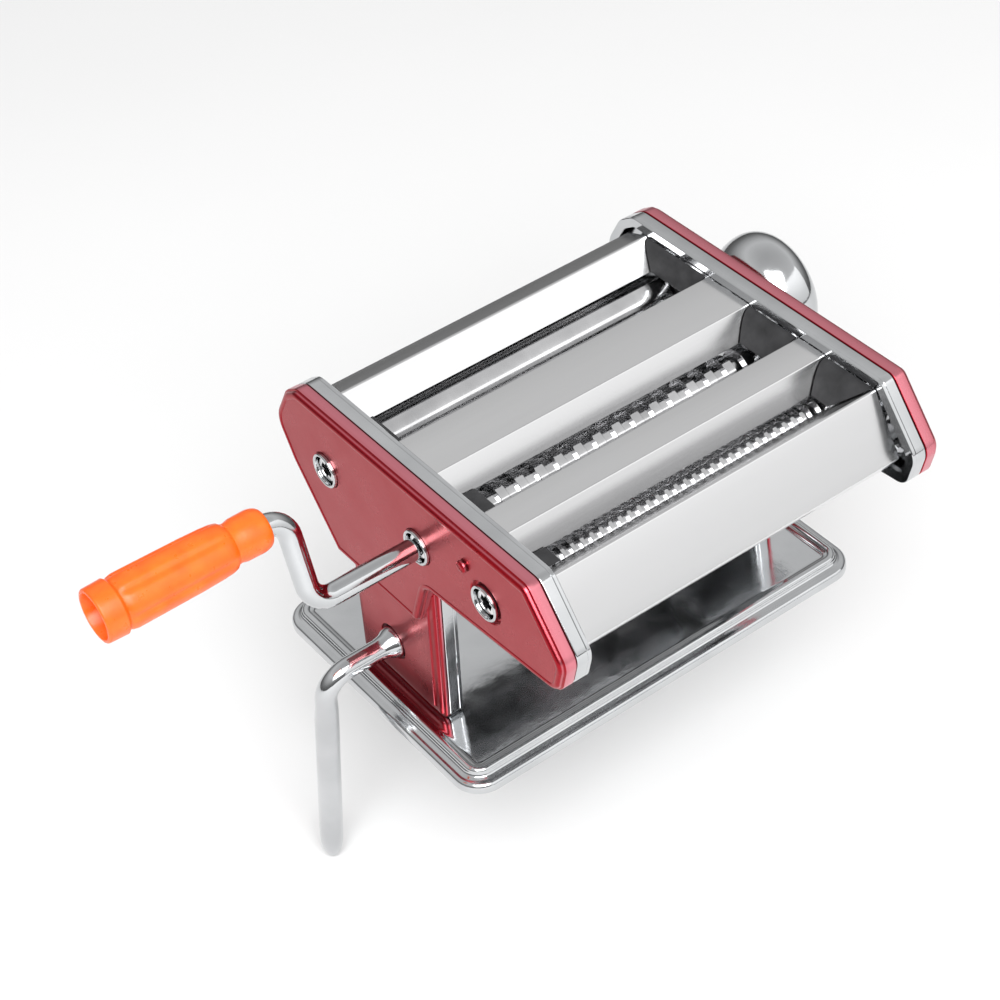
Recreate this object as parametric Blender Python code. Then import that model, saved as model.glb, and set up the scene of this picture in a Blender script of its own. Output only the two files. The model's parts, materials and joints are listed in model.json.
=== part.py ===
"""A hand-cranked pasta machine with three pairs of rollers, modelled in metres with +Z up.

X runs along the rollers, from the crank at -X to the thickness knob at +X. The front panel, where
the narrow cutters are, faces -Y. The origin is on the table, under the middle of the base.
"""

from math import cos, pi, sin, tan, tau

import bmesh
import bpy
from mathutils import Matrix, Vector

GAP = 0.0003                      # space left between pieces that touch
ROUND = 16                        # sides of a small turned piece
SMOOTH_ANGLE = 0.7                # edges sharper than this stay crisp
SMALLEST_ARC = 0.0005

# Base tray
BASE_WIDTH = 0.198
BASE_DEPTH = 0.135
BASE_CORNER = 0.012
BASE_FLOOR = 0.0065
BASE_LIFT = 0.001
FOOT_RADIUS = 0.008
FOOT_X = 0.080
FOOT_Y = 0.048

# Body, across X
SHEET_HALF = 0.0752               # the folded sheets end here
RIM_INNER = 0.0756                # the chrome side frames start here
PLATE_INNER = 0.080
FRAME_OUTER = 0.082
COVER_INNER = FRAME_OUTER + GAP
COVER_OUTER = 0.089
LEG_OUTER = 0.0855                # the cover steps inwards on the leg
FLANGE = 0.0012                   # thickness of the side frames' flange
LIP = 0.0040                      # height of the lip turned inwards along the flange's edge
LIP_THICKNESS = 0.0008

# Body, in the side view (y, z)
RIM_TOP = 0.1315
CREST = 0.1275
SLOT = 0.117
LEG_FOOT = BASE_FLOOR + GAP
LEG_STEP = 0.060
SIDE_CORNERS = (                  # (y, z, corner radius), from the top front round to the back
    (-0.1010, RIM_TOP, 0.005),
    (-0.1205, 0.1060, 0.008),
    (-0.1160, 0.0905, 0.007),
    (-0.0355, 0.0840, 0.010),
    (-0.0300, LEG_FOOT, 0.003),
    (0.0270, LEG_FOOT, 0.003),
    (0.0245, 0.0560, 0.010),
    (0.0520, 0.0920, 0.014),
    (0.0610, 0.1100, 0.012),
    (0.0515, 0.1260, 0.012),
    (0.0430, RIM_TOP, 0.008),
)
SHEET = 0.0008

WALL_FOOT = 0.115                 # the front walls of the two rear troughs end below the slots' rear edges

# Troughs between the folded sheets, in y: front crest, foot of the front wall, rear edge, rear crest
SMOOTH_TROUGH = (-0.0042, 0.0010, 0.0250, 0.0338)
WIDE_TROUGH = (-0.0570, -0.0530, -0.0344, -0.0285)
FINE_TROUGH = (-0.0990, -0.0864, -0.0766, -0.0715)
BACK_EDGE = ((0.0520, 0.0900), (0.0530, 0.1080), (0.0450, 0.1235))
FRONT_EDGE = ((-0.1126, 0.1023), (-0.1080, 0.0960))
GUIDES = (                        # (trough, its edges, length of the right guide, of the left guide)
    ("smooth", SMOOTH_TROUGH, 0.0055, 0.0090),
    ("wide", WIDE_TROUGH, 0.0100, 0.0130),
    ("fine", FINE_TROUGH, 0.0115, 0.0130),
)
GUIDE_STEPS = 5
GUIDE_EDGE = 0.0004               # thickness of a guide where it runs out

# Roller pairs: the driven-by-crank roller of each pair is the rear one
SMOOTH_RADIUS = 0.0105
SMOOTH_AXIS = (0.0263, 0.1028)
SMOOTH_NARROWEST = 0.0005         # gap between the smooth rollers at the thinnest setting
ECCENTRIC = 0.0025                # a quarter turn of the knob closes the rollers from about 3 mm
KNOB_DROP = 0.21                  # radians: the knob's axis is below the fixed roller's
WIDE_AXIS = (-0.0340, 0.1045)
WIDE_SPACING = 0.016
WIDE_DISC = 0.0086
WIDE_CORE = 0.0066
WIDE_DISCS = 16
FINE_AXIS = (-0.0760, 0.1065)
FINE_SPACING = 0.0122
FINE_DISC = 0.0066
FINE_CORE = 0.0050
FINE_DISCS = 34
BARREL_HALF = 0.0752
DRIVE_JOURNAL = 0.0052
JOURNAL = 0.0040
FINE_JOURNAL = 0.0030
SOCKET_FACE = 0.0886
SOCKET_DEPTH = 0.012
SOCKET_FLATS = 0.0065
COLLAR_OUTER = 0.0073
COLLAR_INNER = 0.0060
COLLAR_EDGE = 0.0004
COLLAR_PROUD = 0.0012
SOCKETS = (("smooth", SMOOTH_AXIS), ("wide", WIDE_AXIS), ("fine", FINE_AXIS))
ADJUST_SPACING = 2 * SMOOTH_RADIUS + SMOOTH_NARROWEST + ECCENTRIC
ADJUST_AXIS = (
    SMOOTH_AXIS[0] - ADJUST_SPACING * cos(KNOB_DROP),
    SMOOTH_AXIS[1] - ADJUST_SPACING * sin(KNOB_DROP),
)
MOVING_AXIS = (                   # at rest, square to the line between the other two axes
    ADJUST_AXIS[0] - ECCENTRIC * sin(KNOB_DROP),
    ADJUST_AXIS[1] + ECCENTRIC * cos(KNOB_DROP),
)

# Bearings: radii of the nylon blocks round each axle
SMOOTH_BEARING = 0.0080
WIDE_BEARING = 0.0070
FINE_BEARING = 0.0066
AXLE_BEARING = 0.0060

# Combs and scrapers under the rollers
COMB_SHEET = 0.0006
COMB_FINGER = 0.0045
COMB_LEAN = 0.003
SCRAPERS = (                      # (name, tip, root)
    ("scraper_rear", (0.0243, 0.0910), (0.0343, 0.0840)),
    ("scraper_front", (0.0005, 0.0858), (-0.0080, 0.0815)),
)

# Gears between the right end of the rollers and the right frame
GEAR_INNER = 0.0763
GEAR_OUTER = 0.0796
TEETH = 12
SMOOTH_TEETH = (0.0131, 0.0105)   # tip and root radius
WIDE_TEETH = (0.0090, 0.0067)
FINE_TEETH = (0.0069, 0.0050)

# Crank and grip
ROD_RADIUS = 0.0044
CRANK_ARM_X = -0.1345
CRANK_THROW = (0.0105, 0.0355)    # from the socket axis to the grip axis, in y and z
CRANK_BEND = 0.008
GRIP_NECK_X = -0.1425
GRIP_MOUTH_X = -0.2110
GRIP_RADIUS = 0.0104
GRIP_NECK = 0.0082
GRIP_BORE = 0.0088
GRIP_CUP = 0.0120                 # depth of the open end
GRIP_COLLAR = 0.0085
GRIP_FLUTE = 0.0008
GRIP_SIDES = 24

# Clamp lever
LEVER_AXIS = (0.0000, 0.0290)
LEVER_HOLE = 0.0078
LEVER_X = -0.1180
LEVER_LENGTH = 0.122
LEVER_TILT = 0.18                 # radians from straight down, towards the back
LEVER_BEND = 0.011
LEVER_RADIUS = 0.0044
LEVER_HEAD = (                    # (x, radius)
    (-0.0720, 0.0066),
    (-0.0840, 0.0070),
    (-0.0880, 0.0062),
    (-0.0930, LEVER_RADIUS),
)
LEVER_BLADE = (                   # (share of the way down, half width, half depth)
    (0.12, 0.0052, 0.0048),
    (0.88, 0.0052, 0.0048),
    (0.96, 0.0042, 0.0034),
    (1.00, 0.0020, 0.0014),
)

# Knob
KNOB_RADIUS = 0.0257
KNOB_HUB = 0.0135
KNOB_FACE = 0.0187                # radius of the flat outer face
KNOB_INNER_X = 0.0905
KNOB_HUB_X = 0.0965
KNOB_WIDEST_X = 0.1121
KNOB_OUTER_X = 0.1209
KNOB_STEPS = 4
DETENT_GROOVE = (0.0062, 0.0098)  # inner and outer radius
DETENT_DEPTH = 0.0035
CAP_SEAT = 0.0115
CAP_DEPTH = 0.0015
KNOB_BORE = 0.0044
KNOB_POCKET = 0.0070
KNOB_STEP_X = 0.0970
AXLE_HEAD_X = 0.1130              # leaves the spring room to close when the knob is pulled out
AXLE_HEAD = 0.0060
SPRING_WIRE = 0.0005
SPRING_COIL = 0.0055
SPRING_TURNS = 5
DETENT_RADIUS = 0.0012
DETENT_AXIS = (ADJUST_AXIS[0], ADJUST_AXIS[1] + 0.0080)

# Cover screw and tie rods
SCREW_AXIS = (-0.0640, 0.1160)
SCREW_SHANK = 0.0015
SCREW_HEAD = 0.0026
TIE_RODS = (("front", (-0.1035, 0.0985)), ("rear", (0.0450, 0.0965)))


def clear_scene():
    for old in list(bpy.data.objects):
        bpy.data.objects.remove(old, do_unlink=True)


def material(name, colour, roughness, metallic=0.0):
    made = bpy.data.materials.new(name)
    made.use_nodes = True
    shader = made.node_tree.nodes["Principled BSDF"]
    shader.inputs["Base Color"].default_value = (*colour, 1.0)
    shader.inputs["Roughness"].default_value = roughness
    shader.inputs["Metallic"].default_value = metallic
    made.diffuse_color = (*colour, 1.0)
    return made


# ---------------------------------------------------------------- mesh helpers

def finish_mesh(name, bm, look, origin=(0.0, 0.0, 0.0)):
    """Turns a bmesh built in world coordinates into an object with its origin where it is wanted."""
    bmesh.ops.recalc_face_normals(bm, faces=bm.faces)
    bmesh.ops.translate(bm, vec=-Vector(origin), verts=bm.verts)
    mesh = bpy.data.meshes.new(name)
    bm.to_mesh(mesh)
    bm.free()
    mesh.shade_smooth()
    mesh.set_sharp_from_angle(angle=SMOOTH_ANGLE)
    mesh.materials.append(look)
    made = bpy.data.objects.new(name, mesh)
    made.location = origin
    bpy.context.scene.collection.objects.link(made)
    return made


def skin(bm, rings, closed=False):
    """Joins rings of points, one after the other, and caps the two ends unless they meet."""
    loops = [[bm.verts.new(point) for point in ring] for ring in rings]
    pairs = list(zip(loops, loops[1:]))
    if closed:
        pairs.append((loops[-1], loops[0]))
    else:
        bm.faces.new(loops[0])
        bm.faces.new(loops[-1])
    for one, two in pairs:
        count = len(one)
        for i in range(count):
            j = (i + 1) % count
            bm.faces.new((one[i], one[j], two[j], two[i]))


def lofted(name, rings, look, origin=(0.0, 0.0, 0.0), closed=False):
    bm = bmesh.new()
    skin(bm, rings, closed)
    return finish_mesh(name, bm, look, origin)


def circle(x, radius, axis, sides=ROUND, phase=0.0):
    """A ring of points round an axis that runs along X through (y, z)."""
    angles = [phase + tau * i / sides for i in range(sides)]
    return [(x, axis[0] + radius * cos(a), axis[1] + radius * sin(a)) for a in angles]


def turned(name, profile, axis, look, sides=ROUND, closed=False, phase=0.0):
    """Turns a profile of (x, radius) points about the axis; a closed profile makes a ring."""
    rings = [circle(x, radius, axis, sides, phase) for x, radius in profile]
    return lofted(name, rings, look, (0.0, axis[0], axis[1]), closed)


def tube(name, x0, x1, inner, outer, axis, look, sides=ROUND):
    profile = ((x0, inner), (x0, outer), (x1, outer), (x1, inner))
    return turned(name, profile, axis, look, sides, closed=True)


def rounded(corners, steps=3):
    """The outline through corners given as (across, up, radius), each turned by an arc."""
    outline = []
    for i, (across, up, radius) in enumerate(corners):
        corner = Vector((across, up))
        before = (Vector(corners[i - 1][:2]) - corner).normalized()
        after = (Vector(corners[(i + 1) % len(corners)][:2]) - corner).normalized()
        half = before.angle(after) / 2
        start = before * radius / tan(half)
        centre = (before + after).normalized() * radius / sin(half)
        spoke = start - centre
        sweep = pi - 2 * half
        if before.cross(after) > 0:
            sweep = -sweep
        for k in range(steps + 1):
            turn = Matrix.Rotation(sweep * k / steps, 2)
            outline.append(corner + centre + turn @ spoke)
    return outline


def inset(corners, distance):
    """Moves each side between the corners inwards, and keeps the arcs that turn them concentric."""
    points = [Vector(corner[:2]) for corner in corners]
    area = sum(points[i - 1].cross(points[i]) for i in range(len(points)))
    facing = 1 if area > 0 else -1
    moved = []
    for i, (across, up, radius) in enumerate(corners):
        one = (points[i] - points[i - 1]).normalized()
        two = (points[(i + 1) % len(points)] - points[i]).normalized()
        normal_one = Vector((-one.y, one.x))
        normal_two = Vector((-two.y, two.x))
        shift = (normal_one + normal_two) * facing * distance / (1 + normal_one.dot(normal_two))
        outward = 1 if one.cross(two) * facing > 0 else -1
        moved.append((across + shift.x, up + shift.y, max(radius - outward * distance, SMALLEST_ARC)))
    return moved


def at_x(outline, x):
    return [(x, y, z) for y, z in outline]


def folded_sheet(name, points, look, half=SHEET_HALF, thickness=SHEET):
    """A sheet folded along X: the points run along its outer side, from the rear to the front."""
    inner = []
    for i, point in enumerate(points):
        here = Vector(point)
        one = (here - Vector(points[i - 1])).normalized() if i else None
        two = (Vector(points[i + 1]) - here).normalized() if i + 1 < len(points) else None
        one = one or two
        two = two or one
        normal_one = Vector((-one.y, one.x))
        normal_two = Vector((-two.y, two.x))
        inner.append(here + (normal_one + normal_two) * thickness / (1 + normal_one.dot(normal_two)))
    section = [Vector(point) for point in points] + inner[::-1]
    return lofted(name, [at_x(section, -half), at_x(section, half)], look)


def cut(target, cutters):
    """Takes hidden cutter shapes away from the target."""
    for cutter in cutters:
        cutter.hide_render = True
        cutter.display_type = "WIRE"
        modifier = target.modifiers.new("Cut " + cutter.name, "BOOLEAN")
        modifier.object = cutter
        modifier.operation = "DIFFERENCE"


def hole(name, axis, radius, x0, x1, look, sides=24):
    return turned("cutter_" + name, ((x0, radius), (x1, radius)), axis, look, sides)


def obround(one, two, radius, steps=8):
    """The outline of a slot with round ends about the points one and two."""
    start = Vector(one)
    end = Vector(two)
    heading = (end - start).normalized()
    side = Vector((-heading.y, heading.x))
    outline = []
    for centre, spoke in ((end, -side), (start, side)):
        for k in range(steps + 1):
            turn = Matrix.Rotation(pi * k / steps, 2)
            outline.append(centre + turn @ spoke * radius)
    return outline


def bent(points, radius, steps=5):
    """A path through the points whose inner corners are turned by arcs."""
    path = [points[0]]
    for before, corner, after in zip(points, points[1:], points[2:]):
        back = (before - corner).normalized()
        on = (after - corner).normalized()
        half = back.angle(on) / 2
        reach = radius / tan(half)
        centre = corner + (back + on).normalized() * radius / sin(half)
        spoke = corner + back * reach - centre
        normal = back.cross(on).normalized()
        for k in range(steps + 1):
            turn = Matrix.Rotation(-(pi - 2 * half) * k / steps, 3, normal)
            path.append(centre + turn @ spoke)
    path.append(points[-1])
    return path


# ---------------------------------------------------------------- base

def base_outline(margin):
    half_width = BASE_WIDTH / 2 - margin
    half_depth = BASE_DEPTH / 2 - margin
    radius = max(BASE_CORNER - margin, 0.002)
    corners = [(sx * half_width, sy * half_depth, radius) for sx, sy in ((-1, -1), (1, -1), (1, 1), (-1, 1))]
    return rounded(corners, steps=4)


def base_tray(look):
    """A pressed tray: two beads step up from the table edge and then down to the floor."""
    profile = (                   # (distance in from the edge, height), over the top and back under
        (0.0110, BASE_FLOOR),
        (0.0095, 0.0085),
        (0.0062, 0.0090),
        (0.0050, 0.0060),
        (0.0020, 0.0055),
        (0.0000, 0.0035),
        (0.0000, BASE_LIFT),
        (0.0014, BASE_LIFT),
        (0.0014, 0.0030),
        (0.0060, 0.0040),
        (0.0120, BASE_FLOOR - 0.0012),
    )
    rings = [[(x, y, height) for x, y in base_outline(margin)] for margin, height in profile]
    lofted("base_tray", rings, look)


def rubber_foot(name, x, y, look):
    top = BASE_FLOOR - 0.0012 - GAP
    rings = []
    for height, radius in ((0.0, FOOT_RADIUS - 0.001), (top, FOOT_RADIUS)):
        angles = [tau * i / ROUND for i in range(ROUND)]
        rings.append([(x + radius * cos(a), y + radius * sin(a), height) for a in angles])
    lofted(name, rings, look)


# ---------------------------------------------------------------- side frames and covers

def bearing_outline(axis, spacing, radius):
    """Round both axles of a pair of cutters: the rear one is the axis, the front one is spacing away."""
    return obround((axis[0] - spacing, axis[1]), axis, radius)


def side_frame(name, side, look):
    """The chrome plate that holds the bearings; its flange ends in a lip along the folded sheets."""
    profile = (                   # (x, distance in from the outline)
        (FRAME_OUTER, 0.0),
        (RIM_INNER, 0.0),
        (RIM_INNER, LIP),
        (RIM_INNER + LIP_THICKNESS, LIP),
        (RIM_INNER + LIP_THICKNESS, FLANGE),
        (PLATE_INNER, FLANGE),
    )
    rings = [at_x(rounded(inset(SIDE_CORNERS, margin)), side * x) for x, margin in profile]
    frame = lofted(name, rings, look)
    x0 = side * (PLATE_INNER - 0.002)
    x1 = side * (FRAME_OUTER + 0.002)
    cutters = []
    for pair, axis, spacing, radius in (
        ("wide", WIDE_AXIS, WIDE_SPACING, WIDE_BEARING),
        ("fine", FINE_AXIS, FINE_SPACING, FINE_BEARING),
    ):
        slot = bearing_outline(axis, spacing, radius + GAP)
        cutters.append(lofted(f"cutter_{name}_{pair}", (at_x(slot, x0), at_x(slot, x1)), look))
    cutters.append(hole(f"{name}_smooth", SMOOTH_AXIS, SMOOTH_BEARING + GAP, x0, x1, look))
    cutters.append(hole(f"{name}_axle", ADJUST_AXIS, AXLE_BEARING + GAP, x0, x1, look))
    if side < 0:
        cutters.append(hole(f"{name}_clamp", LEVER_AXIS, LEVER_HOLE, x0, x1, look))
    cut(frame, cutters)


def side_cover(name, side, look):
    """The red cap over a side frame: rolled round its rim and stepped inwards on the leg."""
    profile = (                   # (x, distance in from the outline)
        (COVER_OUTER, 0.0032),
        (COVER_OUTER - 0.0008, 0.0012),
        (COVER_OUTER - 0.0028, 0.0),
        (COVER_INNER, 0.0),
        (COVER_INNER, 0.0016),
        (COVER_INNER + 0.0012, 0.0016),
    )
    rings = [at_x(rounded(inset(SIDE_CORNERS, margin)), side * x) for x, margin in profile]
    cover = lofted(name, rings, look)
    x0 = side * (COVER_INNER - 0.002)
    x1 = side * (COVER_OUTER + 0.002)
    leg_depth = x1 - side * LEG_OUTER
    leg_space = ((x1 - leg_depth / 2, 0.0, 0.0), (abs(leg_depth), BASE_DEPTH, 2 * LEG_STEP))
    cutters = [box(f"cutter_{name}_leg", *leg_space, look)]
    if side < 0:
        for pair, axis in SOCKETS:
            cutters.append(hole(f"{name}_{pair}", axis, COLLAR_OUTER + GAP, x0, x1, look))
        cutters.append(hole(f"{name}_clamp", LEVER_AXIS, LEVER_HOLE, x0, x1, look))
        cutters.append(hole(f"{name}_screw", SCREW_AXIS, SCREW_SHANK + GAP, x0, x1, look, ROUND))
    else:
        cutters.append(hole(f"{name}_axle", ADJUST_AXIS, JOURNAL + GAP * 2, x0, x1, look))
        cutters.append(hole(f"{name}_detent", DETENT_AXIS, DETENT_RADIUS + GAP, x0, x1, look, ROUND))
    cut(cover, cutters)


def socket_collar(name, axis, look):
    """The bright ring in the cover that the crank goes through."""
    face = -COVER_OUTER - COLLAR_PROUD
    profile = (
        (-COVER_INNER, COLLAR_INNER),
        (-COVER_INNER, COLLAR_OUTER),
        (face + COLLAR_EDGE, COLLAR_OUTER),
        (face, COLLAR_OUTER - COLLAR_EDGE),
        (face, COLLAR_INNER + COLLAR_EDGE),
        (face + COLLAR_EDGE, COLLAR_INNER),
    )
    turned(name, profile, axis, look, closed=True)


def cover_screw(look):
    """A small screw with a driver slot, into the side frame."""
    head = COVER_OUTER + GAP
    profile = ((-COVER_INNER, SCREW_SHANK), (-head, SCREW_SHANK), (-head, SCREW_HEAD),
               (-head - 0.0009, SCREW_HEAD), (-head - 0.0013, SCREW_HEAD - 0.0008))
    screw = turned("cover_screw", profile, SCREW_AXIS, look, 12)
    slot = box("cutter_driver_slot", (-head - 0.0014, *SCREW_AXIS), (0.0010, 0.0070, 0.0007), look)
    cut(screw, [slot])


def box(name, centre, size, look):
    bm = bmesh.new()
    bmesh.ops.create_cube(bm, size=1.0, matrix=Matrix.LocRotScale(Vector(centre), None, Vector(size)))
    return finish_mesh(name, bm, look)


# ---------------------------------------------------------------- folded sheets and guides

def panels(look):
    """The flat tops between the troughs, each with the trough sides that are folded down from it."""
    smooth_crest, smooth_front, smooth_rear, smooth_back = SMOOTH_TROUGH
    wide_crest, wide_front, wide_rear, wide_back = WIDE_TROUGH
    fine_crest, fine_front, fine_rear, fine_back = FINE_TROUGH
    folded_sheet("back_panel", (*BACK_EDGE, (smooth_back, CREST), (smooth_rear, SLOT)), look)
    top = ((smooth_front, WALL_FOOT), (smooth_crest, CREST), (wide_back, CREST), (wide_rear, SLOT))
    folded_sheet("centre_panel_back", top, look)
    top = ((wide_front, WALL_FOOT), (wide_crest, CREST), (fine_back, CREST), (fine_rear, SLOT))
    folded_sheet("centre_panel_front", top, look)
    folded_sheet("front_panel", ((fine_front, SLOT), (fine_crest, CREST), *FRONT_EDGE), look)


def end_guide(name, side, trough, length, look):
    """A black block across the end of a trough: bulging at the right, low and hollow at the left."""
    front_crest, front, rear, rear_crest = trough
    bottom = SLOT + GAP
    full = CREST - SHEET - bottom
    rings = []
    for k in range(GUIDE_STEPS + 1):
        t = k / GUIDE_STEPS
        share = cos(t * pi / 2) if side > 0 else 0.4 * (1 - t) ** 3
        rise = full * share + GUIDE_EDGE
        height = rise / (CREST - SLOT)
        low = front + 2 * GAP
        high = low + (front_crest - front) * height
        back_low = rear - 2 * GAP
        back_high = back_low + (rear_crest - rear) * height
        x = side * (SHEET_HALF - length * t)
        top = bottom + rise
        rings.append([(x, low, bottom), (x, high, top), (x, back_high, top), (x, back_low, bottom)])
    lofted(name, rings, look)


# ---------------------------------------------------------------- rollers, cutters and gears

def disc_centre(i, discs, shift):
    pitch = 2 * BARREL_HALF / (discs + 0.5)
    return -BARREL_HALF + pitch * (i + 0.5 + shift)


def cutter_profile(discs, disc, core, shift):
    """Square discs with square grooves between them; shift moves them by half a pitch."""
    pitch = 2 * BARREL_HALF / (discs + 0.5)
    width = pitch * 0.44
    profile = [(-BARREL_HALF, core)]
    for i in range(discs):
        x0 = disc_centre(i, discs, shift) - width / 2
        profile += [(x0, core), (x0, disc), (x0 + width, disc), (x0 + width, core)]
    profile.append((BARREL_HALF, core))
    return profile


def drive_shaft(name, profile, journal, axis, look, sides):
    """A roller with a hexagonal socket for the crank in its left end."""
    whole = [(-SOCKET_FACE, DRIVE_JOURNAL), (-BARREL_HALF - 0.0006, DRIVE_JOURNAL), *profile,
             (BARREL_HALF + 0.0006, journal), (COVER_INNER - 0.0005, journal)]
    shaft = turned(name, whole, axis, look, sides)
    corner = SOCKET_FLATS / 2 / cos(pi / 6)
    depth = ((-SOCKET_FACE - 0.002, corner), (-SOCKET_FACE + SOCKET_DEPTH, corner))
    cut(shaft, [turned(f"cutter_{name}", depth, axis, look, 6)])


def plain_shaft(name, profile, journal, axis, look, sides):
    end = COVER_INNER - 0.0005
    whole = [(-end, journal), (-BARREL_HALF - 0.0006, journal), *profile,
             (BARREL_HALF + 0.0006, journal), (end, journal)]
    turned(name, whole, axis, look, sides)


def gear(name, axis, radii, bore, phase, look):
    """A pinion with narrow straight teeth, of (tip, root) radii; phase is in tooth pitches."""
    tip, root = radii
    pitch = tau / TEETH
    outline = []
    for i in range(TEETH):
        for share, radius in ((-0.27, root), (-0.12, tip), (0.12, tip), (0.27, root)):
            a = (i + phase + share) * pitch
            outline.append((axis[0] + radius * cos(a), axis[1] + radius * sin(a)))
    rings = [at_x(outline, GEAR_INNER), at_x(outline, GEAR_OUTER)]
    wheel = lofted(name, rings, look, (0.0, *axis))
    cut(wheel, [hole(name, axis, bore, GEAR_INNER - 0.001, GEAR_OUTER + 0.001, look, ROUND)])


def beside(axis, spacing):
    return (axis[0] - spacing, axis[1])


def smooth_rollers(steel, iron):
    barrel = ((-BARREL_HALF, SMOOTH_RADIUS), (BARREL_HALF, SMOOTH_RADIUS))
    drive_shaft("smooth_roller_drive", barrel, JOURNAL, SMOOTH_AXIS, steel, 24)
    bore = JOURNAL + GAP
    tube("smooth_roller_moving", -BARREL_HALF, BARREL_HALF, bore, SMOOTH_RADIUS, MOVING_AXIS, steel, 24)
    toward_knob = KNOB_DROP / tau * TEETH
    gear("smooth_gear_drive", SMOOTH_AXIS, SMOOTH_TEETH, bore, toward_knob, iron)
    gear("smooth_gear_moving", ADJUST_AXIS, SMOOTH_TEETH, bore, toward_knob + 0.5, iron)


def eccentric_axle(look):
    """The knob's axle: its ends turn in the frames and its middle, set off the axis, carries a roller."""
    sections = (
        (-COVER_INNER, JOURNAL, ADJUST_AXIS),
        (-BARREL_HALF - 0.0008, JOURNAL, ADJUST_AXIS),
        (-BARREL_HALF - 0.0003, JOURNAL, MOVING_AXIS),
        (BARREL_HALF + 0.0003, JOURNAL, MOVING_AXIS),
        (BARREL_HALF + 0.0008, JOURNAL, ADJUST_AXIS),
        (AXLE_HEAD_X, JOURNAL, ADJUST_AXIS),
        (AXLE_HEAD_X, AXLE_HEAD, ADJUST_AXIS),
        (AXLE_HEAD_X + 0.002, AXLE_HEAD, ADJUST_AXIS),
    )
    rings = [circle(x, radius, axis) for x, radius, axis in sections]
    lofted("eccentric_axle", rings, look, (0.0, *ADJUST_AXIS))


def cutters(steel, iron):
    for pair, axis, spacing, disc, core, count, journal, sides, teeth in (
        ("wide", WIDE_AXIS, WIDE_SPACING, WIDE_DISC, WIDE_CORE, WIDE_DISCS, JOURNAL, 10, WIDE_TEETH),
        ("fine", FINE_AXIS, FINE_SPACING, FINE_DISC, FINE_CORE, FINE_DISCS, FINE_JOURNAL, 8, FINE_TEETH),
    ):
        partner = beside(axis, spacing)
        rear = cutter_profile(count, disc, core, 0.0)
        front = cutter_profile(count, disc, core, 0.5)
        drive_shaft(f"{pair}_cutter_drive", rear, journal, axis, steel, sides)
        plain_shaft(f"{pair}_cutter_driven", front, journal, partner, steel, sides)
        gear(f"{pair}_gear_drive", axis, teeth, journal + GAP, 0.0, iron)
        gear(f"{pair}_gear_driven", partner, teeth, journal + GAP, 0.5, iron)


# ---------------------------------------------------------------- bearings and inner parts

def bearing_block(name, side, axis, spacing, radius, journals, look):
    """A nylon block in the side frame with a bore for each axle of a pair."""
    outline = bearing_outline(axis, spacing, radius)
    x0 = side * PLATE_INNER
    x1 = side * FRAME_OUTER
    block = lofted(name, (at_x(outline, x0), at_x(outline, x1)), look)
    bores = []
    for label, centre, journal in zip(("rear", "front"), (axis, beside(axis, spacing)), journals):
        ends = (x0 - 0.001 * side, x1 + 0.001 * side)
        bores.append(hole(f"{name}_{label}", centre, journal + GAP, *ends, look, ROUND))
    cut(block, bores)


def bearings(look):
    for label, side in (("left", -1), ("right", 1)):
        rear = DRIVE_JOURNAL if side < 0 else JOURNAL
        fine_rear = DRIVE_JOURNAL if side < 0 else FINE_JOURNAL
        bearing_block(f"wide_bearing_{label}", side, WIDE_AXIS, WIDE_SPACING, WIDE_BEARING,
                      (rear, JOURNAL), look)
        bearing_block(f"fine_bearing_{label}", side, FINE_AXIS, FINE_SPACING, FINE_BEARING,
                      (fine_rear, FINE_JOURNAL), look)
        x0, x1 = sorted((side * PLATE_INNER, side * FRAME_OUTER))
        tube(f"smooth_bearing_{label}", x0, x1, rear + GAP, SMOOTH_BEARING, SMOOTH_AXIS, look)
        tube(f"axle_bearing_{label}", x0, x1, JOURNAL + GAP, AXLE_BEARING, ADJUST_AXIS, look)


def scraper(name, tip, root, look):
    """A blade along the underside of a smooth roller."""
    folded_sheet(name, (root, tip), look, half=SHEET_HALF - 0.001)


def comb(name, tip, root, discs, shift, look):
    """A strip whose pointed fingers reach into the grooves of a cutter."""
    pitch = 2 * BARREL_HALF / (discs + 0.5)
    heading = Vector(tip) - Vector(root)
    length = heading.length
    heading.normalize()
    normal = Vector((-heading.y, heading.x)) * COMB_SHEET
    shoulder = length - COMB_FINGER
    end = BARREL_HALF - 0.001
    outline = [(-end, 0.0), (-end, shoulder)]
    for i in range(discs - 1):
        disc = disc_centre(i, discs, shift)
        outline += [(disc, shoulder), (disc + pitch / 2, length)]
    outline += [(disc_centre(discs - 1, discs, shift), shoulder), (end, shoulder), (end, 0.0)]
    rings = []
    for offset in (Vector((0.0, 0.0)), normal):
        places = [(x, Vector(root) + heading * along + offset) for x, along in outline]
        rings.append([(x, place.x, place.y) for x, place in places])
    lofted(name, rings, look)


def inner_parts(steel):
    for name, tip, root in SCRAPERS:
        scraper(name, tip, root, steel)
    for pair, axis, spacing, reach, drop, count in (
        ("wide", WIDE_AXIS, WIDE_SPACING, (0.0030, 0.0070), 0.0110, WIDE_DISCS),
        ("fine", FINE_AXIS, FINE_SPACING, (0.0022, 0.0053), 0.0095, FINE_DISCS),
    ):
        partner = beside(axis, spacing)
        low = axis[1] - reach[1]
        root = low - drop
        comb(f"{pair}_comb_rear", (axis[0] - reach[0], low), (axis[0] + COMB_LEAN, root), count, 0.0, steel)
        comb(f"{pair}_comb_front", (partner[0] + reach[0], low), (partner[0] - COMB_LEAN, root), count, 0.5,
             steel)
    for label, axis in TIE_RODS:
        turned(f"tie_rod_{label}", ((-PLATE_INNER + GAP, 0.003), (PLATE_INNER - GAP, 0.003)), axis, steel, 12)


# ---------------------------------------------------------------- knob

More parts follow.
